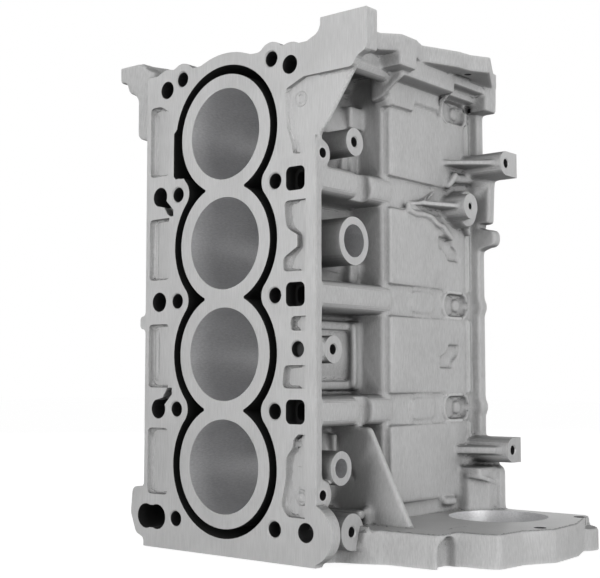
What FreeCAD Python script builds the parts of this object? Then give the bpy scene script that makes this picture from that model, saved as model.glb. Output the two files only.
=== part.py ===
"""Engine block of a water-cooled inline four, one aluminium casting with its machined faces.

The frame: +Z runs along the crankshaft from the rear face (Z = 0) to the front face, +Y runs
from the head deck down to the pan rail, and +X is the side with the mounting arms. The origin
is the crankshaft's axis at the rear face.
"""
import FreeCAD, Part
import os
import re

import Sketcher
from FreeCAD import Placement, Rotation, Vector

doc = FreeCAD.newDocument("engine_block")
sheet = doc.addObject("Spreadsheet::Sheet", "Sizes")

# The driving sizes, in millimetres.
SIZES = {
    # The cylinders and the crankshaft
    "bore_pitch": 96,
    "bore_diameter": 80.4,
    "bore_length": 150,
    "rear_margin": 75,
    "front_margin": 82,
    "deck_height": 220,
    "rail_drop": 30,
    "main_diameter": 60,
    "cap_seat_width": 104,
    "cap_bolt_spread": 84,
    "cap_bolt_hole": 10.2,
    "cap_bolt_depth": 60,
    "bay_radius": 86,
    "bulkhead_thickness": 22,
    "rear_seal_diameter": 96,
    "rear_seal_depth": 14,
    # The water jacket
    "liner_wall": 12.2,
    "jacket_gap": 8.1,
    "jacket_depth": 92,
    "jacket_wall": 6.5,
    "front_jacket_wall": 11,
    "jacket_neck": 47,
    "transfer_reach": 63,
    "transfer_height": 42,
    # The deck
    "deck_thickness": 10,
    "deck_right": 101,
    "deck_left": 98,
    "head_bolt_offset": 57.5,
    "head_bolt_hole": 10.2,
    "head_bolt_mouth": 13.2,
    "head_bolt_mouth_depth": 14,
    "head_bolt_depth": 110,
    "head_boss_radius": 14.5,
    "front_bolt_offset": 53,
    "front_bolt_inset": 25,
    "drain_offset": 80,
    "drain_width": 20,
    "drain_shaft": 15,
    "drain_corner": 5,
    "drain_rib_width": 25,
    "drain_rib_corner": 9,
    "return_diameter": 17.6,
    "corner_hole": 16,
    "corner_hole_depth": 26,
    "pocket_depth": 6,
    "pocket_corner": 3,
    # The crankcase
    "shoulder_height": 121,
    "case_wall": 15,
    "case_lean": 3.5,
    "case_corner": 4,
    "panel_height": 3,
    "panel_half": 34,
    "panel_corner": 6,
    "rail_step": 10,
    "rail_thickness": 10,
    "rail_bolt_hole": 7,
    # The flanges
    "rear_flange_thickness": 27.5,
    "front_flange_thickness": 15,
    "flange_corner": 8,
    "starter_diameter": 88,
    "starter_offset": 155,
    "starter_height": 26,
    "starter_clearance": 1,
    "bell_bolt_hole": 10.5,
    "cover_bolt_hole": 6.8,
    # The bosses and arms on the visible side
    "boss_face": 104,
    "port_boss_reach": 128,
    "tapped_hole": 8.5,
    "tapped_depth": 24,
    "arm_reach": 148,
    "arm_radius": 11.5,
    "web_thickness": 5,
    "ear_reach": 153,
    "ear_depth": 17,
}

for row, (alias, length) in enumerate(SIZES.items(), start=1):
    sheet.set("A%d" % row, alias.replace("_", " "))
    sheet.set("B%d" % row, str(length))
    sheet.setAlias("B%d" % row, alias)
doc.recompute()

# Places that several features share, worked out from the sizes.
DECK = "-deck_height"
RAIL = "rail_drop"
RAIL_TOP = "(rail_drop - rail_thickness)"
LENGTH = "(rear_margin + 3 * bore_pitch + front_margin)"
FRONT_WALL = "(rear_margin + 3 * bore_pitch + front_margin - front_flange_thickness)"
SHOULDER = "-shoulder_height"
REAR_BOLT = "(rear_margin - bore_pitch / 2)"
FRONT_BOLT = "(rear_margin + 3 * bore_pitch + front_margin - front_bolt_inset)"
CASE_FOOT = "(bay_radius + case_wall)"
CASE_TOP = "(bay_radius + case_wall - case_lean)"
RAIL_HALF = "(bay_radius + case_wall + rail_step)"
UPPER_ARM = "(rear_margin + 3 * bore_pitch - 10.3)"
LOWER_ARM = "(rear_margin + 8.6)"
PORT_BOSS = "(rear_margin + 2.5 * bore_pitch - 5)"
EAR_FOOT = FRONT_WALL + " - 19"
PAST = "2"

ALONG = {
    "X": Rotation(Vector(0, 1, 0), 90),
    "Y": Rotation(Vector(1, 0, 0), -90),
    "Z": Rotation(),
}
OTHERS = {"X": "yz", "Y": "xz", "Z": "xy"}


def sized(text):
    """An expression with each size named in it taken from the sheet."""
    return re.sub(r"[a-z]\w*", r"Sizes.\g<0>", str(text))


def number(text):
    return float(sheet.evalExpression(sized(text)))


def bore_place(index):
    return "(rear_margin + %d * bore_pitch)" % index


def bulkhead_place(index):
    return "(rear_margin - bore_pitch / 2 + %d * bore_pitch)" % index


def box(label, across, depth, up):
    """A block between two places along X, along Y and along Z."""
    block = doc.addObject("Part::Box", "Block")
    block.Label = label
    for side, place, (start, end) in zip(("Length", "Width", "Height"), "xyz", (across, depth, up)):
        block.setExpression(side, sized("%s - (%s)" % (end, start)))
        block.setExpression("Placement.Base." + place, sized(start))
    return block


def cylinder(label, axis, centre, start, end, diameter):
    """A round bar along an axis, its centre given on the two other axes."""
    bar = doc.addObject("Part::Cylinder", "Bar")
    bar.Label = label
    bar.Placement = Placement(Vector(), ALONG[axis])
    bar.setExpression("Radius", sized("(%s) / 2" % diameter))
    bar.setExpression("Height", sized("%s - (%s)" % (end, start)))
    for place, value in zip(OTHERS[axis], centre):
        bar.setExpression("Placement.Base." + place, sized(value))
    bar.setExpression("Placement.Base." + axis.lower(), sized(start))
    return bar


def prism(label, axis, corners, start, end, rounds=()):
    """A profile padded along an axis. Each of rounds is a radius and the corners that it rounds."""
    body = doc.addObject("PartDesign::Body", "Profile")
    body.Label = label
    sketch = body.newObject("Sketcher::SketchObject", "Outline")
    base_plane = [plane for plane in body.Origin.OriginFeatures if plane.Role == "XY_Plane"][0]
    sketch.AttachmentSupport = [(base_plane, "")]
    sketch.MapMode = "FlatFace"
    places = [Vector(number(first), number(second), 0) for first, second in corners]
    count = len(corners)
    for index in range(count):
        sketch.addGeometry(Part.LineSegment(places[index], places[(index + 1) % count]))
    for index in range(count):
        sketch.addConstraint(Sketcher.Constraint("Coincident", index, 2, (index + 1) % count, 1))
    for index, corner in enumerate(corners):
        for kind, text in zip(("DistanceX", "DistanceY"), corner):
            held = Sketcher.Constraint(kind, -1, 1, index, 1, number(text))
            sketch.setExpression("Constraints[%d]" % sketch.addConstraint(held), sized(text))
    pad = body.newObject("PartDesign::Pad", "Pad")
    pad.Profile = sketch
    pad.setExpression("Length", sized("%s - (%s)" % (end, start)))
    doc.recompute()
    feature = pad
    for radius, chosen in rounds:
        names = []
        for edge_number, edge in enumerate(feature.Shape.Edges, start=1):
            first, last = edge.Vertexes[0].Point, edge.Vertexes[-1].Point
            upright = (first - last).Length > 1e-6 and abs(first.x - last.x) + abs(first.y - last.y) < 1e-6
            flat = Vector(first.x, first.y, 0)
            if upright and any((places[index] - flat).Length < 1e-4 for index in chosen):
                names.append("Edge%d" % edge_number)
        fillet = body.newObject("PartDesign::Fillet", "Fillet")
        fillet.Base = (feature, names)
        fillet.setExpression("Radius", sized(radius))
        body.Tip = fillet
        doc.recompute()
        feature = fillet
    # A profile along Y is drawn on X and Z, one along X on Y and Z.
    if axis == "Y":
        body.Placement = Placement(Vector(), Rotation(Vector(1, 0, 0), 90))
        body.setExpression("Placement.Base.y", sized(end))
    elif axis == "X":
        body.Placement = Placement(Vector(), Rotation(Vector(0, 1, 0), Vector(0, 0, 1), Vector(1, 0, 0)))
        body.setExpression("Placement.Base.x", sized(start))
    else:
        body.setExpression("Placement.Base.z", sized(start))
    return body


def fused(label, shapes):
    union = doc.addObject("Part::MultiFuse", "Union")
    union.Label = label
    union.Shapes = shapes
    return union


def cut(label, base, tool):
    difference = doc.addObject("Part::Cut", "Cut")
    difference.Label = label
    difference.Base = base
    difference.Tool = tool
    return difference


casting = []
machining = []

# The cylinder housing: a wall round each bore's water jacket, and the bosses of the head bolts.
JACKET = "(bore_diameter + 2 * liner_wall + 2 * jacket_gap)"
HOUSING_FOOT = SHOULDER + " + 10"
for index in range(4):
    casting.append(cylinder("Jacket wall %d" % (index + 1), "Y", ("0", bore_place(index)), DECK,
                            HOUSING_FOOT, JACKET + " + 2 * jacket_wall"))
casting.append(cylinder("Front jacket wall", "Y", ("0", bore_place(3)), DECK, HOUSING_FOOT,
                        JACKET + " + 2 * front_jacket_wall"))
casting.append(box("Middle of the housing", ("-head_bolt_offset", "head_bolt_offset"),
                   (DECK, HOUSING_FOOT), (REAR_BOLT, bore_place(3))))
head_bolts = []
for side in ("-", ""):
    for index in range(4):
        head_bolts.append((side + "head_bolt_offset", bulkhead_place(index)))
    head_bolts.append((side + "front_bolt_offset", FRONT_BOLT))
for across, up in head_bolts:
    casting.append(cylinder("Head bolt boss", "Y", (across, up), DECK, HOUSING_FOOT,
                            "2 * head_boss_radius"))

# The drain passages run down ribs between the cylinders on one side, and down round ones on the other.
for index in (1, 2, 3):
    rib = "drain_rib_width / 2"
    place = bulkhead_place(index)
    casting.append(prism("Drain rib %d" % index, "Y",
                         [("jacket_neck", "%s - %s" % (place, rib)),
                          ("deck_right", "%s - %s" % (place, rib)),
                          ("deck_right", "%s + %s" % (place, rib)),
                          ("jacket_neck", "%s + %s" % (place, rib))],
                         DECK, HOUSING_FOOT, [("drain_rib_corner", (1, 2))]))
    casting.append(cylinder("Return rib %d" % index, "Y", ("-drain_offset", place), DECK,
                            HOUSING_FOOT, "return_diameter + 14"))

# The deck plate, with its round corners, its front scallops and the two ears of the front flange.
casting.append(box("Deck plate", ("-deck_left", "deck_right"), (DECK, DECK + " + deck_thickness"),
                   ("0", FRONT_BOLT + " + 8")))
FRONT_CORNERS = (("deck_right - 27", FRONT_BOLT + " - 8.5"), ("-deck_left + 26", FRONT_BOLT + " - 7"))
REAR_CORNER = ("deck_right - 10", REAR_BOLT)
for across, up in FRONT_CORNERS:
    casting.append(cylinder("Front corner boss", "Y", (across, up), DECK, DECK + " + 60",
                            "corner_hole + 22"))
casting.append(cylinder("Rear corner boss", "Y", ("deck_right - 9", REAR_BOLT + " - 1"), DECK,
                        DECK + " + 14", 50))
casting.append(prism("Rear ear", "Y",
                     [("-deck_left + 18", "2"), ("-deck_left + 3", "6.5"), ("-deck_left - 10", "11"),
                      ("-deck_left - 17", REAR_BOLT + " + 2"), ("-deck_left - 15", REAR_BOLT + " + 25.5"),
                      ("-deck_left + 18", REAR_BOLT + " + 25.5")],
                     DECK, DECK + " + 45", [("6", (2, 3, 4))]))
casting.append(prism("Left locating tab", "Y",
                     [("-deck_left + 8", bulkhead_place(2) + " - 12"),
                      ("-deck_left + 8", bulkhead_place(2) + " - 24"),
                      ("-deck_left - 7", bulkhead_place(2) + " - 24"),
                      ("-deck_left - 7", bulkhead_place(2) + " - 12")],
                     DECK, DECK + " + deck_thickness", [("3", (2, 3))]))
casting.append(prism("Right web", "Y",
                     [("deck_right - 11", bore_place(3) + " - 14"),
                      ("deck_right", bore_place(3) + " - 14"),
                      ("deck_right + 7", bore_place(3) + " - 7"), ("ear_reach - 9", EAR_FOOT + " - 4"),
                      ("ear_reach", EAR_FOOT), ("ear_reach", LENGTH), ("deck_right + 6", LENGTH),
                      ("deck_right + 6", LENGTH + " - 5"), ("deck_right + 3", LENGTH + " - 12"),
                      ("deck_right - 11", LENGTH + " - 18")],
                     DECK, DECK + " + web_thickness + 4", [("7", (7, 8))]))
casting.append(box("Right ear", ("deck_right + 9", "ear_reach"), (DECK, DECK + " + ear_depth"),
                   (EAR_FOOT, LENGTH)))
casting.append(prism("Left ear", "Y",
                     [("-deck_left + 6", bore_place(3) + " + 3"),
                      ("-deck_left - 6", bore_place(3) + " + 8"),
                      ("-deck_left - 15", bore_place(3) + " + 11"),
                      ("-deck_left - 17", bore_place(3) + " + 15"), ("-deck_left - 17", EAR_FOOT),
                      ("-deck_left - 21", EAR_FOOT + " + 5"),
                      ("-deck_left - 30", EAR_FOOT + " + 9"), ("-deck_left - 33", FRONT_WALL),
                      ("-deck_left - 42", FRONT_WALL + " + 1"), ("-deck_left - 42", LENGTH),
                      ("-deck_left - 17", LENGTH), ("-deck_left - 4", LENGTH + " - 6"),
                      ("-deck_left + 6", LENGTH + " - 11")],
                     DECK + " + 2.5", DECK + " + ear_depth + 4", [("4", (5, 6, 7))]))

# The crankcase: side walls that widen to the pan rail, with a raised panel over each crank bay.
BEND = SHOULDER + " + 36"
casting.append(prism("Crankcase", "Z",
                     [("-" + CASE_TOP, SHOULDER), (CASE_TOP, SHOULDER), (CASE_TOP + " + 1.5", BEND),
                      (CASE_FOOT, RAIL), ("-" + CASE_FOOT, RAIL), ("-%s - 1.5" % CASE_TOP, BEND)],
                     "0", FRONT_WALL, [("case_corner", (0, 1))]))
BEAD = (RAIL + " - 19", RAIL + " - 14")
BEAD_FACE = CASE_FOOT + " + panel_height + 0.5"
for index in range(4):
    low = "%s - panel_half" % bore_place(index)
    high = "%s + panel_half" % bore_place(index)
    outline = [(SHOULDER + " + 4", low), (RAIL + " - 22", low), (RAIL + " - 22", high),
               (SHOULDER + " + 4", high)]
    casting.append(prism("Panel right %d" % (index + 1), "X", outline, CASE_TOP + " - 18",
                         CASE_FOOT + " + panel_height - 1", [("panel_corner", (1, 2))]))
    casting.append(prism("Panel left %d" % (index + 1), "X", outline,
                         "-(%s + panel_height)" % CASE_FOOT, "18 - " + CASE_TOP))
    casting.append(box("Bead right %d" % (index + 1), (CASE_FOOT + " - 11", BEAD_FACE), BEAD, (low, high)))
    casting.append(box("Bead left %d" % (index + 1), ("-(%s)" % BEAD_FACE, "11 - " + CASE_FOOT), BEAD,
                       (low, high)))

# Between the panels the bead turns in towards the eye over the rail's bolt.
for index in (1, 2):
    for tail in (1, -1):
        end = "%s %+d * (bore_pitch / 2 - panel_half)" % (bulkhead_place(index), tail)
        near = "%s %+d" % (end, -6 * tail)
        corners = [(BEAD[0], end), (BEAD[1], end), (BEAD[0] + " - 10", near), (BEAD[0] + " - 14", near)]
        casting.append(prism("Bead by the eye", "X", corners[::tail], CASE_FOOT + " - 11", BEAD_FACE))

# The pan rail along the bottom, wider where it carries the arms and the corners.
casting.append(box("Pan rail", ("-" + RAIL_HALF, RAIL_HALF), (RAIL_TOP, RAIL), ("0", LENGTH)))
casting.append(prism("Rail by the starter", "Y",
                     [(CASE_FOOT + " - 1", "rear_flange_thickness - 7.5"),
                      (RAIL_HALF + " + 20", "rear_flange_thickness - 7.5"),
                      (RAIL_HALF + " + 20", LOWER_ARM + " - 17.6"),
                      (RAIL_HALF + " + 2", LOWER_ARM + " - 10.6"),
                      (CASE_FOOT + " - 1", LOWER_ARM + " - 10.6")], RAIL_TOP, RAIL, [("5", (2,))]))
casting.append(prism("Rail by the upper arm", "Y",
                     [(CASE_FOOT + " - 1", PORT_BOSS + " - 11"),
                      (RAIL_HALF + " + 11", PORT_BOSS + " - 11"),
                      (RAIL_HALF + " + 13", UPPER_ARM + " - 7.7"),
                      ("arm_reach - 3", UPPER_ARM + " + 0.3"),
                      (CASE_FOOT + " - 1", UPPER_ARM + " + 13.3")], RAIL_TOP, RAIL, [("8", (2,))]))
casting.append(prism("Rail ear", "Y",
                     [(CASE_FOOT + " - 1", bore_place(2) + " + 3"),
                      (RAIL_HALF + " + 9", bore_place(2) + " + 9"),
                      (RAIL_HALF + " + 18", bore_place(2) + " + 10"),
                      (RAIL_HALF + " + 18", bore_place(2) + " + 25"),
                      (RAIL_HALF + " + 9", bore_place(2) + " + 26"),
                      (CASE_FOOT + " - 1", bore_place(2) + " + 32")],
                     RAIL_TOP, RAIL, [("6", (2, 3))]))
for side, (near, far) in (("right", (CASE_FOOT + " - 1", RAIL_HALF + " + 15")),
                          ("left", ("-%s - 15" % RAIL_HALF, "1 - " + CASE_FOOT))):
    casting.append(box("Rail front corner " + side, (near, far), (RAIL_TOP + " - 8", RAIL),
                       (EAR_FOOT + " - 4", LENGTH)))
for index in (1, 2):
    casting.append(cylinder("Rail bolt bump", "Y", (CASE_FOOT, bulkhead_place(index)), RAIL_TOP, RAIL, 25))

# The rear flange that the bell housing bolts to, and the ring round the starter's hole.
casting.append(prism("Rear flange", "Z",
                     [("deck_right - 14", DECK), ("deck_right - 14", SHOULDER + " - 75"),
                      ("deck_right - 4", SHOULDER + " - 64"), ("deck_right + 14", SHOULDER + " - 56"),
                      ("deck_right + 32", SHOULDER + " - 48"),
                      ("starter_offset + 28", SHOULDER + " - 44.5"),
                      ("starter_offset + 28", SHOULDER + " - 18"),
                      ("starter_offset + 49", SHOULDER + " - 16.5"),
                      ("starter_offset + 62", SHOULDER + " - 12"),
                      ("starter_offset + 65", SHOULDER + " + 22"),
                      ("starter_offset + 80", SHOULDER + " + 49"), ("starter_offset + 78", RAIL + " - 58"),
                      ("starter_offset + 59", RAIL), ("-%s - 31" % CASE_FOOT, RAIL),
                      ("-%s - 57" % CASE_FOOT, RAIL + " - 25"), ("-%s - 69" % CASE_FOOT, RAIL + " - 65"),
                      ("-%s - 67" % CASE_FOOT, SHOULDER + " + 41"),
                      ("-%s - 45" % CASE_FOOT, SHOULDER + " - 7"),
                      ("-deck_left - 14", DECK + " + 54"), ("-deck_left + 6", DECK + " + 30"),
                      ("-deck_left + 11", DECK)],
                     "0", "rear_flange_thickness",
                     [("flange_corner", (5, 8, 15, 17)), ("4", (1, 6, 9, 10, 11))]))
CORNER_BOSS = ("starter_offset + 59", RAIL + " - 16")
casting.append(cylinder("Rear flange corner boss", "Z", CORNER_BOSS, "0", "rear_flange_thickness - 8", 32))

# The front flange that the timing cover bolts to, two rails standing out from the front wall.
casting.append(prism("Front rail right", "Z",
                     [("deck_right + 6", DECK), ("ear_reach", DECK), ("ear_reach", DECK + " + ear_depth"),
                      ("ear_reach - 33", DECK + " + ear_depth + 3"),
                      ("ear_reach - 33.5", SHOULDER + " - 33"),
                      ("ear_reach - 21", SHOULDER + " - 19"), ("ear_reach - 21", SHOULDER + " + 4"),
                      ("ear_reach - 26.5", SHOULDER + " + 21"), ("ear_reach - 19", SHOULDER + " + 38"),
                      ("ear_reach - 11", SHOULDER + " + 59"), ("ear_reach - 9", RAIL + " - 76"),
                      ("ear_reach + 1", RAIL + " - 58"), ("ear_reach - 25", RAIL + " - 8"),
                      ("ear_reach - 27", RAIL), ("ear_reach - 45", RAIL),
                      ("ear_reach - 43", RAIL + " - 22"),
                      ("ear_reach - 25", RAIL + " - 52"), ("ear_reach - 27", SHOULDER + " + 71"),
                      ("deck_right + 11", SHOULDER + " + 33"), ("deck_right + 3", SHOULDER + " - 9"),
                      ("deck_right + 3", DECK + " + 12")],
                     FRONT_WALL, LENGTH, [("4", (4, 5, 6, 7, 10, 17, 18))]))
casting.append(prism("Front rail left", "Z",
                     [("-deck_left - 39", DECK + " + 4.5"), ("-deck_left - 17", DECK + " + 4.5"),
                      ("-deck_left - 6", DECK + " + 30"), ("-deck_left - 4", SHOULDER + " - 9"),
                      ("-deck_left - 8", SHOULDER + " + 61"), ("-deck_left - 22", RAIL + " - 50"),
                      ("-deck_left - 10", RAIL), ("-deck_left - 28", RAIL),
                      ("-deck_left - 38", RAIL + " - 45"),
                      ("-deck_left - 26", SHOULDER + " + 61"), ("-deck_left - 19", SHOULDER + " - 9"),
                      ("-deck_left - 21", DECK + " + 30"), ("-deck_left - 39", DECK + " + ear_depth + 4")],
                     FRONT_WALL, LENGTH, [("4", (4, 8, 9))]))
casting.append(box("Front wall", ("-%s - 1" % RAIL_HALF, RAIL_HALF + " + 1"), (SHOULDER, RAIL),
                   (FRONT_WALL + " - 14", FRONT_WALL)))
casting.append(box("Front wall behind the deck", ("-deck_left - 9", "deck_right + 8"),
                   (DECK + " + 12", SHOULDER), (FRONT_WALL + " - 10", FRONT_WALL)))
casting.append(box("Front rail foot", ("-%s - 1" % RAIL_HALF, RAIL_HALF + " + 1"), (RAIL + " - 16", RAIL),
                   (FRONT_WALL, LENGTH)))
casting.append(box("Cover boss right", ("deck_right - 1", "ear_reach - 21"),
                   (SHOULDER + " - 20", SHOULDER + " + 6"), (FRONT_WALL + " - 12", LENGTH)))
CHEST_FOOT = FRONT_WALL + " - 36"
casting.append(prism("Chest", "Y",
                     [(CASE_FOOT + " - 11", CHEST_FOOT), (CASE_FOOT, CHEST_FOOT + " + 2"),
                      (CASE_FOOT + " + 23.5", CHEST_FOOT + " + 19"), (CASE_FOOT + " + 23.5", FRONT_WALL),
                      (CASE_FOOT + " - 11", FRONT_WALL)],
                     SHOULDER + " - 7", RAIL + " - 71", [("5", (1, 2))]))
casting.append(prism("Chest left", "Y",
                     [("11 - " + CASE_FOOT, FRONT_WALL), ("-%s - 15" % CASE_FOOT, FRONT_WALL),
                      ("-%s - 15" % CASE_FOOT, CHEST_FOOT + " + 19"),
                      ("2 - " + CASE_FOOT, CHEST_FOOT + " + 2"),
                      ("11 - " + CASE_FOOT, CHEST_FOOT)], SHOULDER, RAIL, [("5", (2, 3))]))
casting.append(cylinder("Chest ridge", "Y", ("deck_right + 2", FRONT_WALL + " - 12"), DECK + " + 4",
                        SHOULDER + " + 6", 15))

# The bosses on the side, each a round stub from the housing's wall to its machined face, and its hole.
SIDE_BOSSES = (
    # Y, Z, outer diameter, face, hole, depth of the hole
    ("upper", DECK + " + 50", bore_place(3) + " - 13", 24, "boss_face", "tapped_hole", "tapped_depth"),
    ("coolant port", DECK + " + 48.5", bore_place(2) + " - 1.5", 41, "boss_face", "28", "42"),
    ("middle", DECK + " + 24", bore_place(1) + " + 3", 23, "deck_right", "tapped_hole", "tapped_depth"),
    ("sensor port", DECK + " + 30", bore_place(0) + " + 2", 28, "boss_face", "16", "32"),
    ("flange corner", DECK + " + 34", REAR_BOLT + " - 1", 30, "boss_face + 8", "tapped_hole",
     "tapped_depth"),
    ("deck front", DECK + " + 10", bore_place(3) + " - 28", 23.5, "deck_right", "tapped_hole",
     "tapped_depth"),
    ("deck rear", DECK + " + 9.5", REAR_BOLT + " + 29.5", 26, "deck_right", "tapped_hole", "tapped_depth"),
)
HOUSING = "(%s / 2)" % JACKET
for label, depth, up, diameter, face, hole, hole_depth in SIDE_BOSSES:
    casting.append(cylinder("Boss, " + label, "X", (depth, up), HOUSING + " - 10", face, diameter))
    machining.append(cylinder("Hole, " + label, "X", (depth, up), "%s - %s" % (face, hole_depth),
                              "%s + %s" % (face, PAST), hole))
casting.append(box("Neck of the middle boss", (HOUSING, "deck_right - 3"), (DECK + " + 4", DECK + " + 24"),
                   (bore_place(1) + " - 7", bore_place(1) + " + 13")))
casting.append(box("Lobe of the deck rear boss", (HOUSING, "deck_right"), (DECK, DECK + " + 16"),
                   (REAR_BOLT + " + 14", REAR_BOLT + " + 30")))

# The web to the flange, and the arms that carry the accessories, each on a foot with a gusset.
casting.append(prism("Web to the flange", "Y",
                     [(HOUSING, bulkhead_place(1) + " + 8"), ("deck_right", bulkhead_place(1) + " + 8"),
                      ("deck_right", bulkhead_place(1) + " - 11"),
                      ("starter_offset - 10", "rear_flange_thickness - 0.5"),
                      (HOUSING, "rear_flange_thickness - 0.5")],
                     DECK + " + 71", DECK + " + 77"))
ARMS = (
    # Z, Y of the tapped hole, first Y of the gusset, gusset's thickness
    ("upper", UPPER_ARM, RAIL + " - 20", RAIL + " - 70", "web_thickness"),
    ("lower", LOWER_ARM, RAIL + " - 14.4", RAIL + " - 49", "web_thickness + 2"),
)
for label, up, depth, gusset, thickness in ARMS:
    casting.append(cylinder("Arm, " + label, "X", (depth, up), CASE_FOOT + " - 11", "arm_reach",
                            "2 * arm_radius"))
    casting.append(box("Foot of the arm, " + label, (CASE_FOOT + " - 11", "arm_reach"), (depth, RAIL),
                       (up + " - arm_radius", up + " + arm_radius")))
    casting.append(prism("Gusset of the arm, " + label, "Z",
                         [(CASE_FOOT + " - 6", gusset), ("arm_reach - 5", depth + " - arm_radius"),
                          ("arm_reach - 5", depth), (CASE_FOOT + " - 6", depth)],
                         "%s - (%s) / 2" % (up, thickness), "%s + (%s) / 2" % (up, thickness)))
    machining.append(cylinder("Hole of the arm, " + label, "X", (depth, up), "arm_reach - tapped_depth",
                              "arm_reach + " + PAST, "tapped_hole"))
PORT = (RAIL + " - 52", PORT_BOSS)
casting.append(cylinder("Port boss", "X", PORT, CASE_FOOT + " - 11", "port_boss_reach", 24))
casting.append(cylinder("Port boss root", "X", (RAIL + " - 40", PORT_BOSS), CASE_FOOT + " - 11",
                        "port_boss_reach - 10", 35))
casting.append(prism("Gusset of the port boss", "Z",
                     [(CASE_FOOT + " - 9", RAIL + " - 114"), (CASE_FOOT, RAIL + " - 114"),
                      ("port_boss_reach - 5", RAIL + " - 61"), ("port_boss_reach - 5", RAIL + " - 42"),
                      (CASE_FOOT + " - 9", RAIL + " - 42")],
                     PORT_BOSS + " - web_thickness / 2", PORT_BOSS + " + web_thickness / 2"))
machining.append(cylinder("Hole of the port boss", "X", PORT, "port_boss_reach - tapped_depth",
                          "port_boss_reach + " + PAST, "tapped_hole - 2.5"))
casting.append(box("Lug by the starter", (CASE_FOOT + " - 11", "starter_offset - 29"),
                   (RAIL + " - 38", RAIL), ("rear_flange_thickness - 0.5", LOWER_ARM + " - 15.6")))

# Over the rail's bolts the wall has rimmed eyes with a domed boss in each.
EYES = (bulkhead_place(1), bulkhead_place(2), bulkhead_place(4) + " - 7")
for up in EYES:
    casting.append(prism("Rim of the eye", "X",
                         [(RAIL + " - 63", up + " - 13"), (RAIL + " - 16", up + " - 13"),
                          (RAIL + " - 16", up + " + 13"), (RAIL + " - 63", up + " + 13")],
                         CASE_FOOT + " - 11", CASE_FOOT + " + panel_height", [("12", (0, 1, 2, 3))]))

# Pads on the bulkheads' ends, and the name pad left bare.
for up in EYES:
    casting.append(prism("Bulkhead pad", "X",
                         [(SHOULDER + " + 38", up + " - 10"), (RAIL + " - 75", up + " - 10"),
                          (RAIL + " - 75", up + " + 10"), (SHOULDER + " + 38", up + " + 10")],
                         CASE_FOOT + " - 11", CASE_FOOT + " + 1.5", [("7", (0, 1, 2, 3))]))
casting.append(box("Upright pad", (CASE_FOOT + " - 11", CASE_FOOT + " + 3"),
                   (SHOULDER + " - 1", SHOULDER + " + 13"), (CHEST_FOOT + " - 4", CHEST_FOOT + " + 19")))
PAD = (SHOULDER + " + 2", SHOULDER + " + 38")
casting.append(prism("Name pad", "Y",
                     [(CASE_FOOT + " - 11", CHEST_FOOT + " - 3"),
                      (CASE_FOOT + " + 8", CHEST_FOOT + " - 3"),
                      (CASE_FOOT + " + 15", CHEST_FOOT + " + 17"),
                      (CASE_FOOT + " - 11", CHEST_FOOT + " + 17")],
                     PAD[0], PAD[1]))
for step in range(3):
    casting.append(box("Ridge of the name pad", (CASE_FOOT, "%s + %g" % (CASE_FOOT, 10.7 + 1.75 * step)),
                       (PAD[0] + " + 3", PAD[1] + " - 3"),
                       ("%s + %d" % (CHEST_FOOT, 1 + 5 * step), "%s + %d" % (CHEST_FOOT, 3 + 5 * step))))


def bead(label, points, face):
    """A low bead of the casting along the case's wall, through points on Y and Z."""
    lower = [(depth, up + " - 1.6") for depth, up in points]
    upper = [(depth, up + " + 1.6") for depth, up in points]
    return prism(label, "X", lower + upper[::-1], CASE_FOOT + " - 11", face)


# Beads round the port boss, and a scoop each side of the middle eye, where an accessory's bracket clears.
casting.append(bead("Bead under the port boss",
                    [(RAIL + " - 117", PORT_BOSS + " - 5"), (RAIL + " - 103", PORT_BOSS + " - 6.5"),
                     (RAIL + " - 85", PORT_BOSS + " - 9.5"), (RAIL + " - 66", PORT_BOSS + " - 14"),
                     (RAIL + " - 54", PORT_BOSS + " - 18")], CASE_FOOT + " + 2.5"))
casting.append(bead("Bead over the port boss",
                    [(RAIL + " - 94", PORT_BOSS + " + 3"), (RAIL + " - 84", PORT_BOSS + " + 8"),
                     (RAIL + " - 71", PORT_BOSS + " + 14")], CASE_FOOT + " + 2.5"))
SCOOP_EDGE = ((69, 21), (69, 12), (61, 9.5), (54.5, 5), (53, 0))
SCOOP_FAR = ((33, 0), (36.5, 9), (46, 15), (46.5, 21))
for near, tail in ((38, -1), (42, 1)):
    place = "%s %+d" % (bulkhead_place(2), near * tail)
    edge = [("%s - %s" % (RAIL, depth), "%s %+g" % (place, away * tail)) for depth, away in SCOOP_EDGE]
    far = [("%s - %s" % (RAIL, depth), "%s %+g" % (place, away * tail)) for depth, away in SCOOP_FAR]
    beside = [("%s - %s" % (RAIL, depth + 2), "%s %+g" % (place, away * tail))
              for depth, away in SCOOP_EDGE]
    casting.append(prism("Bead of the scoop", "X", (edge + beside[::-1])[::tail], CASE_FOOT + " - 11",
                         BEAD_FACE))
    machining.append(prism("Scoop", "X", (edge + far)[::tail], CASE_FOOT + " - 2.5", CASE_FOOT + " + 9"))

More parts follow.
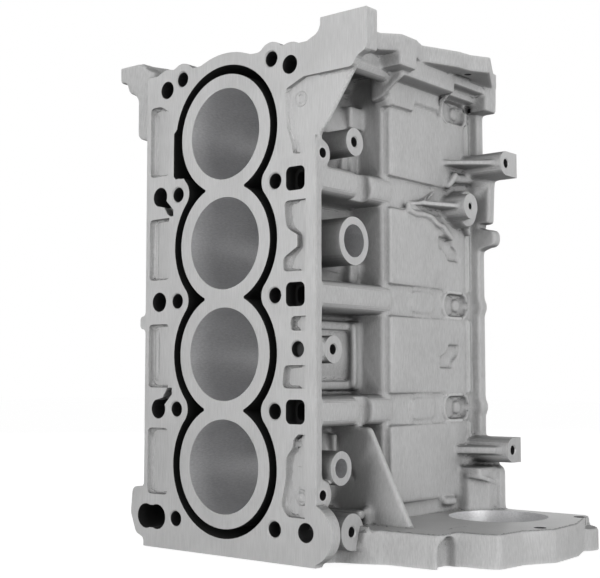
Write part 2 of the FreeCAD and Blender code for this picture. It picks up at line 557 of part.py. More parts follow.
# Lugs and ribs of the housing's wall, in the bays between the drain ribs.
BAY_LUGS = (
    # What it is, its reach from the housing, its places on Y and on Z
    ("Ridge of the middle bay", "12.5", ("89", "100"), (bore_place(1) + " - 31", bore_place(1) + " + 29")),
    ("Lower rib of the middle bay", "9", ("40", "89"), (bore_place(1) + " - 31", bore_place(1) + " - 23")),
    ("Upper rib of the middle bay", "9", ("40", "89"), (bore_place(1) + " + 21", bore_place(1) + " + 29")),
    ("Lug under the port's ring", "14", ("83", "95"), (bore_place(2) + " - 33", bore_place(2) + " - 14")),
    ("Rib beside the port's ring", "12", ("46", "70"), (bore_place(2) + " + 2", bore_place(2) + " + 5")),
    ("Left lug of the upper bay", "13", ("72", "82"), (bore_place(3) + " - 31", bore_place(3) + " - 16")),
    ("Right lug of the upper bay", "11", ("88", "98"), (bore_place(3) + " - 31", bore_place(3) + " - 17")),
    ("Body behind the upper boss", "17", ("79", "99"), (bore_place(3) + " + 8", bore_place(3) + " + 28")),
    ("Rib of the rear bay", "12", ("61", "67"), (bore_place(0) + " + 12", bore_place(0) + " + 28")),
    ("Upper lug at the flange corner", "44", ("54", "63"), (REAR_BOLT + " + 6", REAR_BOLT + " + 14")),
    ("Lower lug at the flange corner", "44", ("48", "57"), (REAR_BOLT + " - 16", REAR_BOLT + " - 8")),
)
for label, reach, (near, far), up in BAY_LUGS:
    casting.append(box(label, (HOUSING, "%s + %s" % (HOUSING, reach)),
                       ("%s + %s" % (DECK, near), "%s + %s" % (DECK, far)), up))
casting.append(prism("Pad of the starter's flange", "Z",
                     [("starter_offset + 7", SHOULDER + " + 11"),
                      ("starter_offset + 14", SHOULDER + " - 15"),
                      ("starter_offset + 18", SHOULDER + " + 12"),
                      ("starter_offset + 8", SHOULDER + " + 29")],
                     "rear_flange_thickness - 1", "rear_flange_thickness + 1.5"))

# The hidden side: the oil gallery along the crankcase, and two bosses for the engine's mount.
casting.append(cylinder("Oil gallery", "Z", ("5 - " + CASE_FOOT, SHOULDER + " + 46"), "0", FRONT_WALL, 30))
MOUNT_FACE = "-%s - 17" % CASE_FOOT
for index in (1, 3):
    place = (RAIL + " - 60", bulkhead_place(index) + " - 3")
    casting.append(cylinder("Mount boss", "X", place, MOUNT_FACE, "11 - " + CASE_FOOT, 36))
    machining.append(cylinder("Mount hole", "X", place, "%s - %s" % (MOUNT_FACE, PAST),
                              MOUNT_FACE + " + 23", "head_bolt_hole"))

# The bores, the water jacket and the crank bays.
JACKET_END = "(jacket_depth - deck_height)"
jacket_parts = []
island_parts = []
for index in range(4):
    jacket_parts.append(cylinder("Jacket %d" % (index + 1), "Y", ("0", bore_place(index)),
                                 DECK + " - " + PAST, JACKET_END, JACKET))
    island_parts.append(cylinder("Liner %d" % (index + 1), "Y", ("0", bore_place(index)),
                                 DECK + " - 2 * " + PAST, JACKET_END + " + " + PAST,
                                 "bore_diameter + 2 * liner_wall"))
for index in (1, 2, 3):
    jacket_parts.append(box("Jacket neck %d" % index, ("-jacket_neck", "jacket_neck"),
                            (DECK + " - " + PAST, JACKET_END),
                            (bulkhead_place(index) + " - 17", bulkhead_place(index) + " + 17")))
    island_parts.append(box("Siamese web %d" % index, ("-23", "23"),
                            (DECK + " - 2 * " + PAST, JACKET_END + " + " + PAST),
                            (bulkhead_place(index) + " - 6", bulkhead_place(index) + " + 6")))
    for side in ("-", ""):
        island_parts.append(cylinder("Bolt boss in the jacket", "Y",
                                     (side + "head_bolt_offset", bulkhead_place(index)),
                                     DECK + " - 2 * " + PAST, JACKET_END + " + " + PAST,
                                     "2 * head_boss_radius"))
INLET_FOOT = bore_place(3) + " - 34"
jacket_parts.append(prism("Pump inlet", "Y",
                          [("-35", INLET_FOOT), ("-transfer_reach + 3", INLET_FOOT),
                           ("-transfer_reach", INLET_FOOT + " + 3"),
                           ("-transfer_reach", INLET_FOOT + " + transfer_height"),
                           ("-transfer_reach + 5", INLET_FOOT + " + transfer_height + 5"),
                           ("-35", INLET_FOOT + " + transfer_height + 5")],
                          DECK + " - " + PAST, JACKET_END))
machining.append(cut("Water jacket", fused("Jacket space", jacket_parts), fused("Islands", island_parts)))

for index in range(4):
    place = bore_place(index)
    half = "(bore_pitch - bulkhead_thickness) / 2"
    machining.append(cylinder("Bore %d" % (index + 1), "Y", ("0", place), DECK + " - " + PAST,
                              DECK + " + bore_length", "bore_diameter"))
    machining.append(cylinder("Crank bay %d" % (index + 1), "Z", ("0", "0"), "%s - %s" % (place, half),
                              "%s + %s" % (place, half), "2 * bay_radius"))
    machining.append(box("Crank bay mouth %d" % (index + 1), ("-bay_radius", "bay_radius"),
                         ("0", RAIL + " + " + PAST),
                         ("%s - %s" % (place, half), "%s + %s" % (place, half))))

# The main bearings: a half round in each bulkhead, the seats of the caps and their bolt holes.
machining.append(cylinder("Main bearings", "Z", ("0", "0"), "-" + PAST, LENGTH + " + " + PAST,
                          "main_diameter"))
machining.append(box("Cap seats", ("-cap_seat_width / 2", "cap_seat_width / 2"),
                     ("0", RAIL + " + " + PAST),
                     ("-" + PAST, LENGTH + " + " + PAST)))
machining.append(cylinder("Rear seal seat", "Z", ("0", "0"), "-" + PAST, "rear_seal_depth",
                          "rear_seal_diameter"))
for index in range(5):
    for side in ("-", ""):
        machining.append(cylinder("Cap bolt hole", "Y",
                                  (side + "cap_bolt_spread / 2", bulkhead_place(index)),
                                  "-cap_bolt_depth", PAST, "cap_bolt_hole"))

# The deck's holes: head bolts, drains, returns and the corner holes.
for across, up in head_bolts:
    machining.append(cylinder("Head bolt hole", "Y", (across, up), DECK, DECK + " + head_bolt_depth",
                              "head_bolt_hole"))
    machining.append(cylinder("Head bolt mouth", "Y", (across, up), DECK + " - " + PAST,
                              DECK + " + head_bolt_mouth_depth", "head_bolt_mouth"))
for index in (1, 2, 3):
    for part_name, width, start, end in (("mouth", "drain_width", DECK + " - " + PAST, DECK + " + 12"),
                                         ("shaft", "drain_shaft", DECK + " + 10", RAIL + " + " + PAST)):
        low = "%s - %s / 2" % (bulkhead_place(index), width)
        high = "%s + %s / 2" % (bulkhead_place(index), width)
        near = "drain_offset - %s / 2" % width
        far = "drain_offset + %s / 2" % width
        machining.append(prism("Drain %s %d" % (part_name, index), "Y",
                               [(near, low), (far, low), (far, high), (near, high)],
                               start, end, [("drain_corner", (0, 1, 2, 3))]))
    machining.append(cylinder("Return %d" % index, "Y", ("-drain_offset", bulkhead_place(index)),
                              DECK + " - " + PAST, RAIL + " + " + PAST, "return_diameter"))
for index, tail in ((1, 1), (3, -1)):
    place = bulkhead_place(index)
    machining.append(prism("Return tail %d" % index, "Y",
                           [("-drain_offset - 4", "%s + %d" % (place, 8 * tail)),
                            ("-drain_offset - 4", "%s - %d" % (place, 4 * tail)),
                            ("-drain_offset + 7", "%s + %d" % (place, 3 * tail)),
                            ("-drain_offset + 17", "%s + %d" % (place, 13 * tail)),
                            ("-drain_offset + 17", "%s + %d" % (place, 19 * tail)),
                            ("-drain_offset + 13.5", "%s + %d" % (place, 19 * tail))],
                           DECK + " - " + PAST, DECK + " + 12"))
for across, up in FRONT_CORNERS + (REAR_CORNER,):
    machining.append(cylinder("Corner hole", "Y", (across, up), DECK + " - " + PAST,
                              DECK + " + corner_hole_depth", "corner_hole"))
VENT = ("-deck_left + 3.5", "-deck_left + 17")
for across in VENT:
    machining.append(cylinder("Vent hole", "Y", (across, REAR_BOLT), DECK + " - " + PAST, DECK + " + 60",
                              22))
machining.append(box("Vent hole middle", VENT, (DECK + " - " + PAST, DECK + " + 60"),
                     (REAR_BOLT + " - 10", REAR_BOLT + " + 10")))
machining.append(cylinder("Sensor well", "Y", ("drain_offset + 2", bore_place(1) + " + 3"),
                          DECK + " - " + PAST, DECK + " + 7", 13))

# The shallow pockets cast in the deck, from the head bolts' row out to the deck's rim.
INNER = "head_bolt_offset + 10.5"
LEFT_RIM = "-deck_left + 4.5"
LEFT_INNER = "-(head_bolt_offset + 10.5)"
RIM = "deck_right - 10"
POCKETS = (
    ("front right", "pocket_depth - 2",
     [(INNER, FRONT_BOLT + " - 29"), ("deck_right - 12", FRONT_BOLT + " - 21"),
      ("ear_reach - 13", FRONT_BOLT + " - 21"), ("deck_right + 12", bore_place(3) + " - 3"),
      ("deck_right - 7", bore_place(3) + " - 21"), ("deck_right - 11", bulkhead_place(3) + " + 20"),
      ("deck_right - 24", bulkhead_place(3) + " + 20"), ("deck_right - 25", bulkhead_place(3) + " + 29"),
      ("deck_right - 30", bulkhead_place(3) + " + 41")], (7, 0)),
    ("second right", "pocket_depth",
     [(INNER, bulkhead_place(3) + " - 18"), (RIM, bulkhead_place(3) + " - 18"),
      (RIM, bulkhead_place(2) + " + 19"), (INNER + " - 1", bulkhead_place(2) + " + 19"),
      (INNER + " - 1", bulkhead_place(2) + " + 31"), (INNER + " + 5", bulkhead_place(2) + " + 34"),
      ("deck_right - 19", bulkhead_place(2) + " + 39"), ("deck_right - 19", bulkhead_place(3) + " - 47"),
      (INNER + " + 5", bulkhead_place(3) + " - 42"), (INNER + " + 2", bulkhead_place(3) + " - 39")],
      (0, 3)),
    ("third right, high", "pocket_depth",
     [("deck_right - 26", bulkhead_place(2) + " - 18"), (RIM, bulkhead_place(2) + " - 18"),
      (RIM, bulkhead_place(2) + " - 30"), ("deck_right - 26", bulkhead_place(2) + " - 30")], (0, 3)),
    ("third right, low", "pocket_depth",
     [(INNER, bulkhead_place(1) + " + 38"), ("deck_right - 11", bulkhead_place(1) + " + 38"),
      ("deck_right - 11", bulkhead_place(1) + " + 19"), (INNER + " - 2", bulkhead_place(1) + " + 19")],
     (0, 3)),
    ("rear right", "pocket_depth",
     [("deck_right - 23", bulkhead_place(1) + " - 18"), ("deck_right - 11", bulkhead_place(1) + " - 18"),
      ("deck_right - 11", REAR_BOLT + " + 11"), ("deck_right - 29", REAR_BOLT + " + 11"),
      (INNER + " - 3", REAR_BOLT + " + 20"), (INNER + " + 2", REAR_BOLT + " + 43"),
      (INNER + " + 2", bulkhead_place(1) + " - 37"), ("deck_right - 23.5", bulkhead_place(1) + " - 29")],
     (0, 4)),
    ("first left", "pocket_depth",
     [(LEFT_RIM, FRONT_BOLT + " - 21"), ("-drain_offset", FRONT_BOLT + " - 21"),
      (LEFT_INNER, FRONT_BOLT + " - 28"), (LEFT_INNER, bulkhead_place(3) + " + 19"),
      (LEFT_RIM, bulkhead_place(3) + " + 19")], (0, 4)),
    ("second left", "pocket_depth",
     [(LEFT_RIM, bulkhead_place(3) + " - 20"), (LEFT_INNER, bulkhead_place(3) + " - 20"),
      (LEFT_INNER, bulkhead_place(2) + " + 20"), (LEFT_RIM, bulkhead_place(2) + " + 20")], (0, 3)),
    ("third left", "pocket_depth",
     [(LEFT_RIM, bulkhead_place(2) + " - 20"), (LEFT_INNER, bulkhead_place(2) + " - 20"),
      (LEFT_INNER, bulkhead_place(1) + " + 19"), (LEFT_RIM, bulkhead_place(1) + " + 19")], (0, 3)),
    ("rear left", "pocket_depth",
     [(LEFT_RIM, bulkhead_place(1) + " - 17"), (LEFT_INNER, bulkhead_place(1) + " - 17"),
      (LEFT_INNER, REAR_BOLT + " + 20"), (LEFT_RIM, REAR_BOLT + " + 20")], (0, 3)),
)
for label, depth, corners, rounded in POCKETS:
    machining.append(prism("Deck pocket, " + label, "Y", corners, DECK + " - " + PAST,
                           DECK + " + " + depth, [("pocket_corner", rounded)]))

# The drain ribs' notches above the crankcase, and the eyes over the rail's bolts.
for index in (1, 3):
    machining.append(box("Notch of the rib", ("deck_right - 10", "deck_right + " + PAST),
                         (DECK + " + 60", DECK + " + 78"),
                         (bulkhead_place(index) + " - 14", bulkhead_place(index) + " + 14")))
for up in EYES:
    eye = prism("Eye", "X", [(RAIL + " - 59", up + " - 10"), (RAIL + " - 20", up + " - 10"),
                             (RAIL + " - 20", up + " + 10"), (RAIL + " - 59", up + " + 10")],
                CASE_FOOT + " - 5", CASE_FOOT + " + 9", [("9", (0, 1, 2, 3))])
    dome = cylinder("Dome in the eye", "X", (RAIL + " - 34", up), CASE_FOOT + " - 21",
                    CASE_FOOT + " - 0.5", 13)
    machining.append(cut("Eye round its dome", eye, dome))
for index in range(5):
    for side, away in ((RAIL_HALF + " - 7", ""), ("7 - " + RAIL_HALF, "left ")):
        machining.append(cylinder("Rail bolt hole %s%d" % (away, index + 1), "Y",
                                  (side, bulkhead_place(index)), RAIL + " - 20", RAIL + " + " + PAST,
                                  "rail_bolt_hole"))

# The starter's hole and the room round the starter's body, then the flanges' bolt holes.
STARTER = ("starter_offset", "-starter_height")
machining.append(cylinder("Starter hole", "Z", STARTER, "-" + PAST, "rear_flange_thickness",
                          "starter_diameter"))
machining.append(cylinder("Room for the starter", "Z", STARTER, "rear_flange_thickness",
                          LOWER_ARM + " - 25.6", "starter_diameter + 2 * starter_clearance"))
machining.append(prism("Niche of the flange", "X",
                       [(SHOULDER + " - 41.5", "-" + PAST), (SHOULDER + " - 21", "-" + PAST),
                        (SHOULDER + " - 21", "24.5"), (SHOULDER + " - 41.5", "24.5")],
                       "starter_offset + 18", "starter_offset + 28 + " + PAST, [("9", (2, 3))]))
for across, depth in (CORNER_BOSS, ("starter_offset + 67", SHOULDER + " + 46"),
                      ("deck_right + 3", SHOULDER + " - 47"), ("-deck_left - 4", DECK + " + 58"),
                      ("-%s - 53" % CASE_FOOT, SHOULDER + " + 29"),
                      ("-%s - 39" % CASE_FOOT, RAIL + " - 18")):
    machining.append(cylinder("Bell housing bolt hole", "Z", (across, depth), "-" + PAST,
                              "rear_flange_thickness + " + PAST, "bell_bolt_hole"))
for across, depth in (("ear_reach - 8", DECK + " + 9"), ("ear_reach - 31", SHOULDER + " - 7"),
                      ("ear_reach - 17", RAIL + " - 68"), ("ear_reach - 36", RAIL + " - 10"),
                      ("-deck_left - 32", DECK + " + 13"), ("-deck_left - 12", SHOULDER + " - 29"),
                      ("-deck_left - 30", RAIL + " - 48"), ("-deck_left - 19", RAIL + " - 10")):
    machining.append(cylinder("Cover bolt hole", "Z", (across, depth), LENGTH + " - 22",
                              LENGTH + " + " + PAST, "cover_bolt_hole"))

# Everything is faced off flat at the deck and at the pan rail.
machining.append(box("Deck face", ("-300", "300"), (DECK + " - 40", DECK), ("-10", LENGTH + " + 10")))
machining.append(box("Rail face", ("-300", "300"), (RAIL, RAIL + " + 30"), ("-10", LENGTH + " + 10")))

engine_block = cut("engine_block", fused("Casting", casting), fused("Machining", machining))
doc.recompute()

for item in doc.Objects:
    if "Invalid" in item.State or "Error" in item.State:
        raise RuntimeError("%s did not build" % item.Label)
pieces = [engine_block]
for piece in pieces:
    if piece.Shape.isNull() or not piece.Shape.isValid():
        raise RuntimeError("%s has no valid shape" % piece.Label)

os.makedirs("parts", exist_ok=True)
for piece in pieces:
    piece.Shape.exportStep("parts/%s.step" % piece.Label)
    bounds = piece.Shape.BoundBox
    print(piece.Label, len(piece.Shape.Solids), "solid", round(piece.Shape.Volume / 1000), "cm3", bounds)
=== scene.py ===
import math

import bmesh
import bpy
import numpy as np
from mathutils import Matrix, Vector
from mathutils.bvhtree import BVHTree


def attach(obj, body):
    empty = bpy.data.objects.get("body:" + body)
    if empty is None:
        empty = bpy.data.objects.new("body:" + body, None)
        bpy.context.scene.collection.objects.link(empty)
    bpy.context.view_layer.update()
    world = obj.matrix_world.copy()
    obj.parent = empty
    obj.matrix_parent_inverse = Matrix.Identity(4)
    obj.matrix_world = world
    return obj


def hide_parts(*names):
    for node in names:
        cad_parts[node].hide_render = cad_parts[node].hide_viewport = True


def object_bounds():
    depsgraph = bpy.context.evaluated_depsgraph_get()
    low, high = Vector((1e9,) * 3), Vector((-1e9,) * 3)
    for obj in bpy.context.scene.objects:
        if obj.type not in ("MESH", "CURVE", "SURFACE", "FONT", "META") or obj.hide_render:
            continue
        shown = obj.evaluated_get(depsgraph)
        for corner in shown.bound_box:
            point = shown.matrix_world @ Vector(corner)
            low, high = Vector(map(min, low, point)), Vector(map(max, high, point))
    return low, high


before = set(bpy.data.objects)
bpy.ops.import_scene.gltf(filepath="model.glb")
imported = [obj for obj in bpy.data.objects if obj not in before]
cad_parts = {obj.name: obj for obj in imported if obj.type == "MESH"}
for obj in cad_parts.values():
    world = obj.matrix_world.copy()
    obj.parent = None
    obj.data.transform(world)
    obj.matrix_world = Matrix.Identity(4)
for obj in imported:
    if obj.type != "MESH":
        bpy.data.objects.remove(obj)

cad_box = [list(corner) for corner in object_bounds()]

# The raw casting. An engine block starts as one pour of aluminium in a steel and sand mould,
# so every wall that no cutter reaches has rounded edges and soft fillets. The solid from the
# frame gives the shape, and its cast walls are rounded here as the mould rounds them.
SAME_SPOT, SLIVER = 2e-6, 1e-6
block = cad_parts["engine_block"]
casting = bpy.data.objects.new("casting", block.data.copy())
bpy.context.scene.collection.objects.link(casting)

solid = bmesh.new()
solid.from_mesh(casting.data)
bmesh.ops.remove_doubles(solid, verts=solid.verts, dist=SAME_SPOT)
bmesh.ops.dissolve_degenerate(solid, edges=solid.edges, dist=SLIVER)
solid.to_mesh(casting.data)

# Folds, beads and lobes that the mould and its sand leave round the arms and in the pockets, part
# of the same aluminium. Each is a chain of spots in millimetres with a radius. LIDS close places
# where the photograph shows no opening, and HOLLOWS are the mould's own undercuts.
BALL_SPOTS = 46
ball = [(math.sqrt(1 - h * h) * math.cos(2.4 * n), math.sqrt(1 - h * h) * math.sin(2.4 * n), h)
        for n in range(BALL_SPOTS) for h in [1 - 2 * (n + 0.5) / BALL_SPOTS]]
FOLDS = [
    ("bead under the second arm", 3.2, [(104, -91, 306), (104, -90, 301), (104, -80, 299),
                                        (104, -65, 299.5), (104.5, -54, 298.5), (105, -46, 293.5),
                                        (104.5, -38, 291.5)]),
    ("fold over the second arm", 3.4, [(105.5, -51, 322.5), (105.5, -58, 320), (104.5, -69, 315),
                                       (104, -73.5, 309.5)]),
    ("fold below the second arm", 3.6, [(104.5, -35, 292), (105, -28, 286.5), (104.5, -20, 282)]),
    ("web to the bullet", 3.8, [(112, -7, 298.5), (110, -1, 293.5), (107, 6, 289)]),
    ("block between the arms", 3.5, [(108, -17, 342.5), (107, -20, 337), (105, -25, 331)]),
    ("block between the arms, body", 5.0, [(106, -14, 339), (107, 4, 341), (107, 17, 342)]),
    ("lobe under the first arm", 8.0, [(116, 15, 345), (111, 20, 337), (106, 21, 330)]),
    ("bead on the starter's lug", 2.6, [(112, -8, 60), (120, -8, 59.5), (125.5, -4, 58),
                                        (126, 8, 55.5), (126, 18, 53)]),
    ("bump by the rear arm", 4.5, [(103.5, 4, 73), (103.5, 8, 73)]),
    ("bump over the rear flange", 4.6, [(103, -33, 38), (103, -19, 37)]),
    ("bead in the third window", 3.4, [(72.5, -131.5, 196), (73.5, -132, 171), (72.5, -131.5, 144)]),
    ("bead in the second window", 3.2, [(73, -122, 250), (66, -122, 231)]),
    ("lobe by the flange boss", 5.5, [(100, -150, 38), (100, -147, 24)]),
    ("ridge in the second pocket", 2.3, [(70, -213.6, 295), (69, -213.6, 285), (73, -213.6, 273),
                                         (80, -213.6, 266), (81, -213.6, 259), (73, -213.6, 251),
                                         (70, -213.6, 242)]),
    ("ridge in the rear pocket", 2.3, [(76, -213.6, 100), (72.5, -213.6, 88), (70, -213.6, 82),
                                       (69, -213.6, 66), (68.5, -213.6, 52), (69, -213.6, 42)]),
    ("ridge in the first left pocket", 2.3, [(-91, -213.6, 392), (-91, -213.6, 338)]),
    ("ridge in the second left pocket", 2.3, [(-90, -213.6, 291), (-90, -213.6, 240)]),
    ("ridge in the third left pocket", 2.3, [(-88, -213.6, 193), (-88, -213.6, 150)]),
    ("ridge in the fourth left pocket", 2.3, [(-92, -213.6, 96), (-92, -213.6, 50)]),
    ("ridge in the front pocket", 2.7, [(69, -215.3, 389), (70.5, -215.3, 376), (73.5, -215.3, 357),
                                        (78, -215.3, 348), (77, -215.3, 341)]),
]
RING_STEPS, WIRE_STEPS = 28, 10
RINGS = [
    ("ejector mark, front pocket", (82.8, -215.4, 381.5), 5.0, 1.9),
    ("ejector mark, rear pocket", (82.3, -213.4, 54.0), 5.0, 1.9),
]
LIDS = [
    ("behind the front rail", (98, 123.5, -76, 13, 423, 444.5)),
    ("over the tapped hole", (70.5, 98.5, -214.2, -212.8, 50, 63)),
    ("end of a rail bolt hole", (98, 110, 19.6, 21.6, 117, 129)),
    ("end of a rail bolt hole", (98, 110, 19.6, 21.6, 213, 225)),
    ("end of a rail bolt hole", (98, 110, 19.6, 21.6, 309, 321)),
    ("end of a rail bolt hole", (98, 110, 19.6, 21.6, 405, 417)),
]
HOLLOWS = [
    ("under the front bar", 0, [(x, y, z) for x in (107.5, 127) for y in (-124, -42) for z in (370, 413.5)]),
    ("over the second arm", 0, [(x, y, z) for x in (98.5, 112) for y, z in
                                ((-87, 327), (-48, 328.5), (-40, 326), (-58, 317), (-74, 311), (-88, 311))]),
    ("front rib's end", 4.5, [(104, -139, 321), (103.5, -149, 312)]),
    ("front rib's end", 4.5, [(103.5, -149, 312), (103, -153, 300)]),
    ("rear rib's end", 4.5, [(104, -151, 136), (104, -147, 129)]),
    ("rear rib's end", 4.5, [(104, -147, 129), (104, -143, 119)]),
]


def closed_form(name, spots, radius):
    """One closed convex form round some spots, in metres."""
    form = bmesh.new()
    for spot in spots:
        for way in ball if radius else [(0, 0, 0)]:
            form.verts.new([(c + w * radius) / 1000 for c, w in zip(spot, way)])
    wrapped = bmesh.ops.convex_hull(form, input=form.verts)
    bmesh.ops.delete(form, geom=list({v for v in wrapped["geom_interior"] + wrapped["geom_unused"]
                                      if isinstance(v, bmesh.types.BMVert)}), context="VERTS")
    mesh = bpy.data.meshes.new(name)
    form.to_mesh(mesh)
    form.free()
    return mesh


added = []
for name, radius, spots in FOLDS:
    for start, end in zip(spots, spots[1:]):
        added.append(closed_form(name, (start, end), radius))
for name, middle, ring_radius, radius in RINGS:
    ring = bmesh.new()
    rows = []
    for step in range(RING_STEPS):
        row, turn = [], math.tau * step / RING_STEPS
        for side in range(WIRE_STEPS):
            bend = math.tau * side / WIRE_STEPS
            out = ring_radius + radius * math.cos(bend)
            row.append(ring.verts.new([(middle[0] + out * math.cos(turn)) / 1000,
                                       (middle[1] + radius * math.sin(bend)) / 1000,
                                       (middle[2] + out * math.sin(turn)) / 1000]))
        rows.append(row)
    for row, after in zip(rows, rows[1:] + rows[:1]):
        for side in range(WIRE_STEPS):
            beside = (side + 1) % WIRE_STEPS
            ring.faces.new([row[side], after[side], after[beside], row[beside]])
    bmesh.ops.recalc_face_normals(ring, faces=ring.faces)
    mesh = bpy.data.meshes.new(name)
    ring.to_mesh(mesh)
    ring.free()
    added.append(mesh)
for name, (x0, x1, y0, y1, z0, z1) in LIDS:
    lid = [(x, y, z) for x in (x0, x1) for y in (y0, y1) for z in (z0, z1)]
    added.append(closed_form(name, lid, 0))
cut = [closed_form(name, spots, radius) for name, radius, spots in HOLLOWS]
forms = []
for mesh in added + cut:
    form = bpy.data.objects.new("form", mesh)
    bpy.context.scene.collection.objects.link(form)
    forms.append(form)
    join = casting.modifiers.new("join", "BOOLEAN")
    join.operation = "UNION" if mesh in added else "DIFFERENCE"
    join.solver = "MANIFOLD"
    join.object = form
joined = casting.evaluated_get(bpy.context.evaluated_depsgraph_get())
casting.data = bpy.data.meshes.new_from_object(joined)
casting.modifiers.clear()
for form in forms:
    bpy.data.meshes.remove(form.data)
solid.clear()
solid.from_mesh(casting.data)
bmesh.ops.triangulate(solid, faces=[face for face in solid.faces if len(face.verts) > 3])
bmesh.ops.remove_doubles(solid, verts=solid.verts, dist=SAME_SPOT)
bmesh.ops.dissolve_degenerate(solid, edges=solid.edges, dist=SLIVER)


def islands_of(faces):
    """The groups of faces that hang together by their edges."""
    met, islands = set(), []
    for start in faces:
        if start in met:
            continue
        met.add(start)
        island = [start]
        for found in island:
            for edge in found.edges:
                for other in edge.link_faces:
                    if other not in met:
                        met.add(other)
                        island.append(other)
        islands.append(island)
    return islands


# A void that two folds shut in between them is filled.
voids = sorted(islands_of(solid.faces), key=len)[:-1]
bmesh.ops.delete(solid, geom=[face for void in voids for face in void], context="FACES")
solid.faces.index_update()
solid.faces.ensure_lookup_table()
solid.edges.ensure_lookup_table()

# The machining. The deck, the pan rail, both ends and the bosses are milled flat, the screw holes
# are drilled, and the cylinders are bored and honed. Each face of the block gets its finish here:
# by its plane, by its round wall, or by its place in the water jacket or in a cored passage.
CAST, MILLED, DRILLED, BORED, JACKET = range(5)
MILLED_PLANES = {(1, -1): -0.2200, (1, 1): 0.0300, (2, -1): 0.0, (2, 1): 0.4450}
ON_PLANE = 3e-5
SMOOTH_BEND = 0.45
SCREW_HOLE, WIDEST_HOLE = 0.008, 0.05
WIDEST_BOSS = 0.0013
BORE_RADIUS, BORE_FOOT = 0.0402, -0.069
BORE_PLACES = [0.075 + 0.096 * number for number in range(4)]
PASSAGES = [
    ((0.0690, -0.2201, 0.1125), (0.0910, 0.0400, 0.1335)),
    ((0.0690, -0.2201, 0.2085), (0.0910, 0.0400, 0.2295)),
    ((0.0690, -0.2201, 0.3045), (0.0910, 0.0400, 0.3255)),
    ((-0.1070, -0.2201, 0.0150), (-0.0690, -0.1000, 0.0390)),
]


def milled_side(face):
    """The axis and sign of the milled plane that a face lies in, or None."""
    normal = face.normal
    for (axis, sign), place in MILLED_PLANES.items():
        if normal[axis] * sign > 0.9999 and abs(face.verts[0].co[axis] - place) < ON_PLANE:
            return axis, sign
    return None


finish = [CAST] * len(solid.faces)
side_of = {}
for face in solid.faces:
    side = milled_side(face)
    if side is not None:
        finish[face.index] = MILLED
        side_of[face.index] = side

# Smooth patches of the rest, so that drilled holes can be told from cast walls.
patch_of = [-1] * len(solid.faces)
patches = []
for face in solid.faces:
    if finish[face.index] != CAST or patch_of[face.index] >= 0:
        continue
    patch_of[face.index] = len(patches)
    patch = [face]
    for found in patch:
        for edge in found.edges:
            if len(edge.link_faces) != 2 or edge.calc_face_angle(0.0) > SMOOTH_BEND:
                continue
            for other in edge.link_faces:
                if finish[other.index] == CAST and patch_of[other.index] < 0:
                    patch_of[other.index] = len(patches)
                    patch.append(other)
    patches.append(patch)

holes = []
for patch in patches:
    normals = np.array([face.normal[:] for face in patch])
    corners = np.array([vert.co[:] for face in patch for vert in face.verts])
    for axis in range(3):
        if np.abs(normals[:, axis]).max() > 0.02:
            continue
        across = [other for other in range(3) if other != axis]
        middle = (corners[:, across].min(0) + corners[:, across].max(0)) / 2
        reach = np.hypot(*(corners[:, across] - middle).T)
        if reach.max() > WIDEST_HOLE or reach.max() - reach.min() > 0.02 * reach.max():
            continue
        centres = np.array([face.calc_center_median()[:] for face in patch])[:, across] - middle
        if (centres * normals[:, across]).sum() > 0:
            continue
        angles = np.arctan2(centres[:, 1], centres[:, 0])
        if len(set(np.floor((angles + math.pi) / (math.pi / 8)).astype(int))) < 15:
            continue
        for face in patch:
            finish[face.index] = DRILLED if reach.max() < SCREW_HOLE or axis == 1 else BORED
        holes.append((axis, across, middle, reach.max(), corners[:, axis].min(), corners[:, axis].max()))
for patch in patches:
    if finish[patch[0].index] != CAST:
        continue
    corners = np.array([vert.co[:] for face in patch for vert in face.verts])
    for axis, across, middle, reach, start, end in holes:
        if reach < 0.02 and np.hypot(*(corners[:, across] - middle).T).max() < reach + 1e-4:
            if corners[:, axis].min() > start - 0.006 and corners[:, axis].max() < end + 0.006:
                for face in patch:
                    finish[face.index] = DRILLED
                break
    low, high = corners.min(0), corners.max(0)
    in_jacket = max(-low[0], high[0]) < 0.0645 and low[1] > -0.2201 and high[1] < -0.1270
    if in_jacket and high[2] < 0.437:
        if low[2] > 0.008 and high[1] - low[1] > 1e-4 or low[1] > -0.1295:
            for face in patch:
                finish[face.index] = JACKET
for face in solid.faces:
    if finish[face.index] != MILLED:
        for place in BORE_PLACES:
            if all(abs(math.hypot(vert.co.x, vert.co.z - place) - BORE_RADIUS) < 3e-4
                   and vert.co.y < BORE_FOOT for vert in face.verts):
                finish[face.index] = BORED

# Drains, the tails of the oil returns and the vent are cored right through; their walls take the water
# jacket's finish and are painted black as shade.
for face in solid.faces:
    corners = np.array([vert.co[:] for vert in face.verts])
    low_corner, high_corner = corners.min(0), corners.max(0)
    for start, end in PASSAGES:
        inward = Vector([(a + b) / 2 for a, b in zip(start, end)]) - face.calc_center_median()
        inward.y = 0
        if finish[face.index] != MILLED and (low_corner > start).all() and (high_corner < end).all():
            if inward.dot(face.normal) > -1e-6:
                finish[face.index] = JACKET

# Bosses on the two long sides are faced by a cutter where a hole is drilled in them.
seen = set()
for start in solid.faces:
    if start in seen or abs(start.normal.x) < 0.9999 or finish[start.index] != CAST:
        continue
    facing, level, island = start.normal.x, start.verts[0].co.x, [start]
    seen.add(start)
    for found in island:
        for edge in found.edges:
            for other in edge.link_faces:
                flush = other.normal.x * facing > 0.9999 and abs(other.verts[0].co.x - level) < ON_PLANE
                if flush and other not in seen:
                    seen.add(other)
                    island.append(other)
    beside = {finish[other.index] for found in island for edge in found.edges for other in edge.link_faces}
    if beside & {DRILLED, BORED} and sum(found.calc_area() for found in island) < WIDEST_BOSS:
        for found in island:
            finish[found.index] = MILLED
            side_of[found.index] = (0, 1 if facing > 0 else -1)

kind_layer = solid.faces.layers.int.new("finish")
for face in solid.faces:
    face[kind_layer] = finish[face.index]

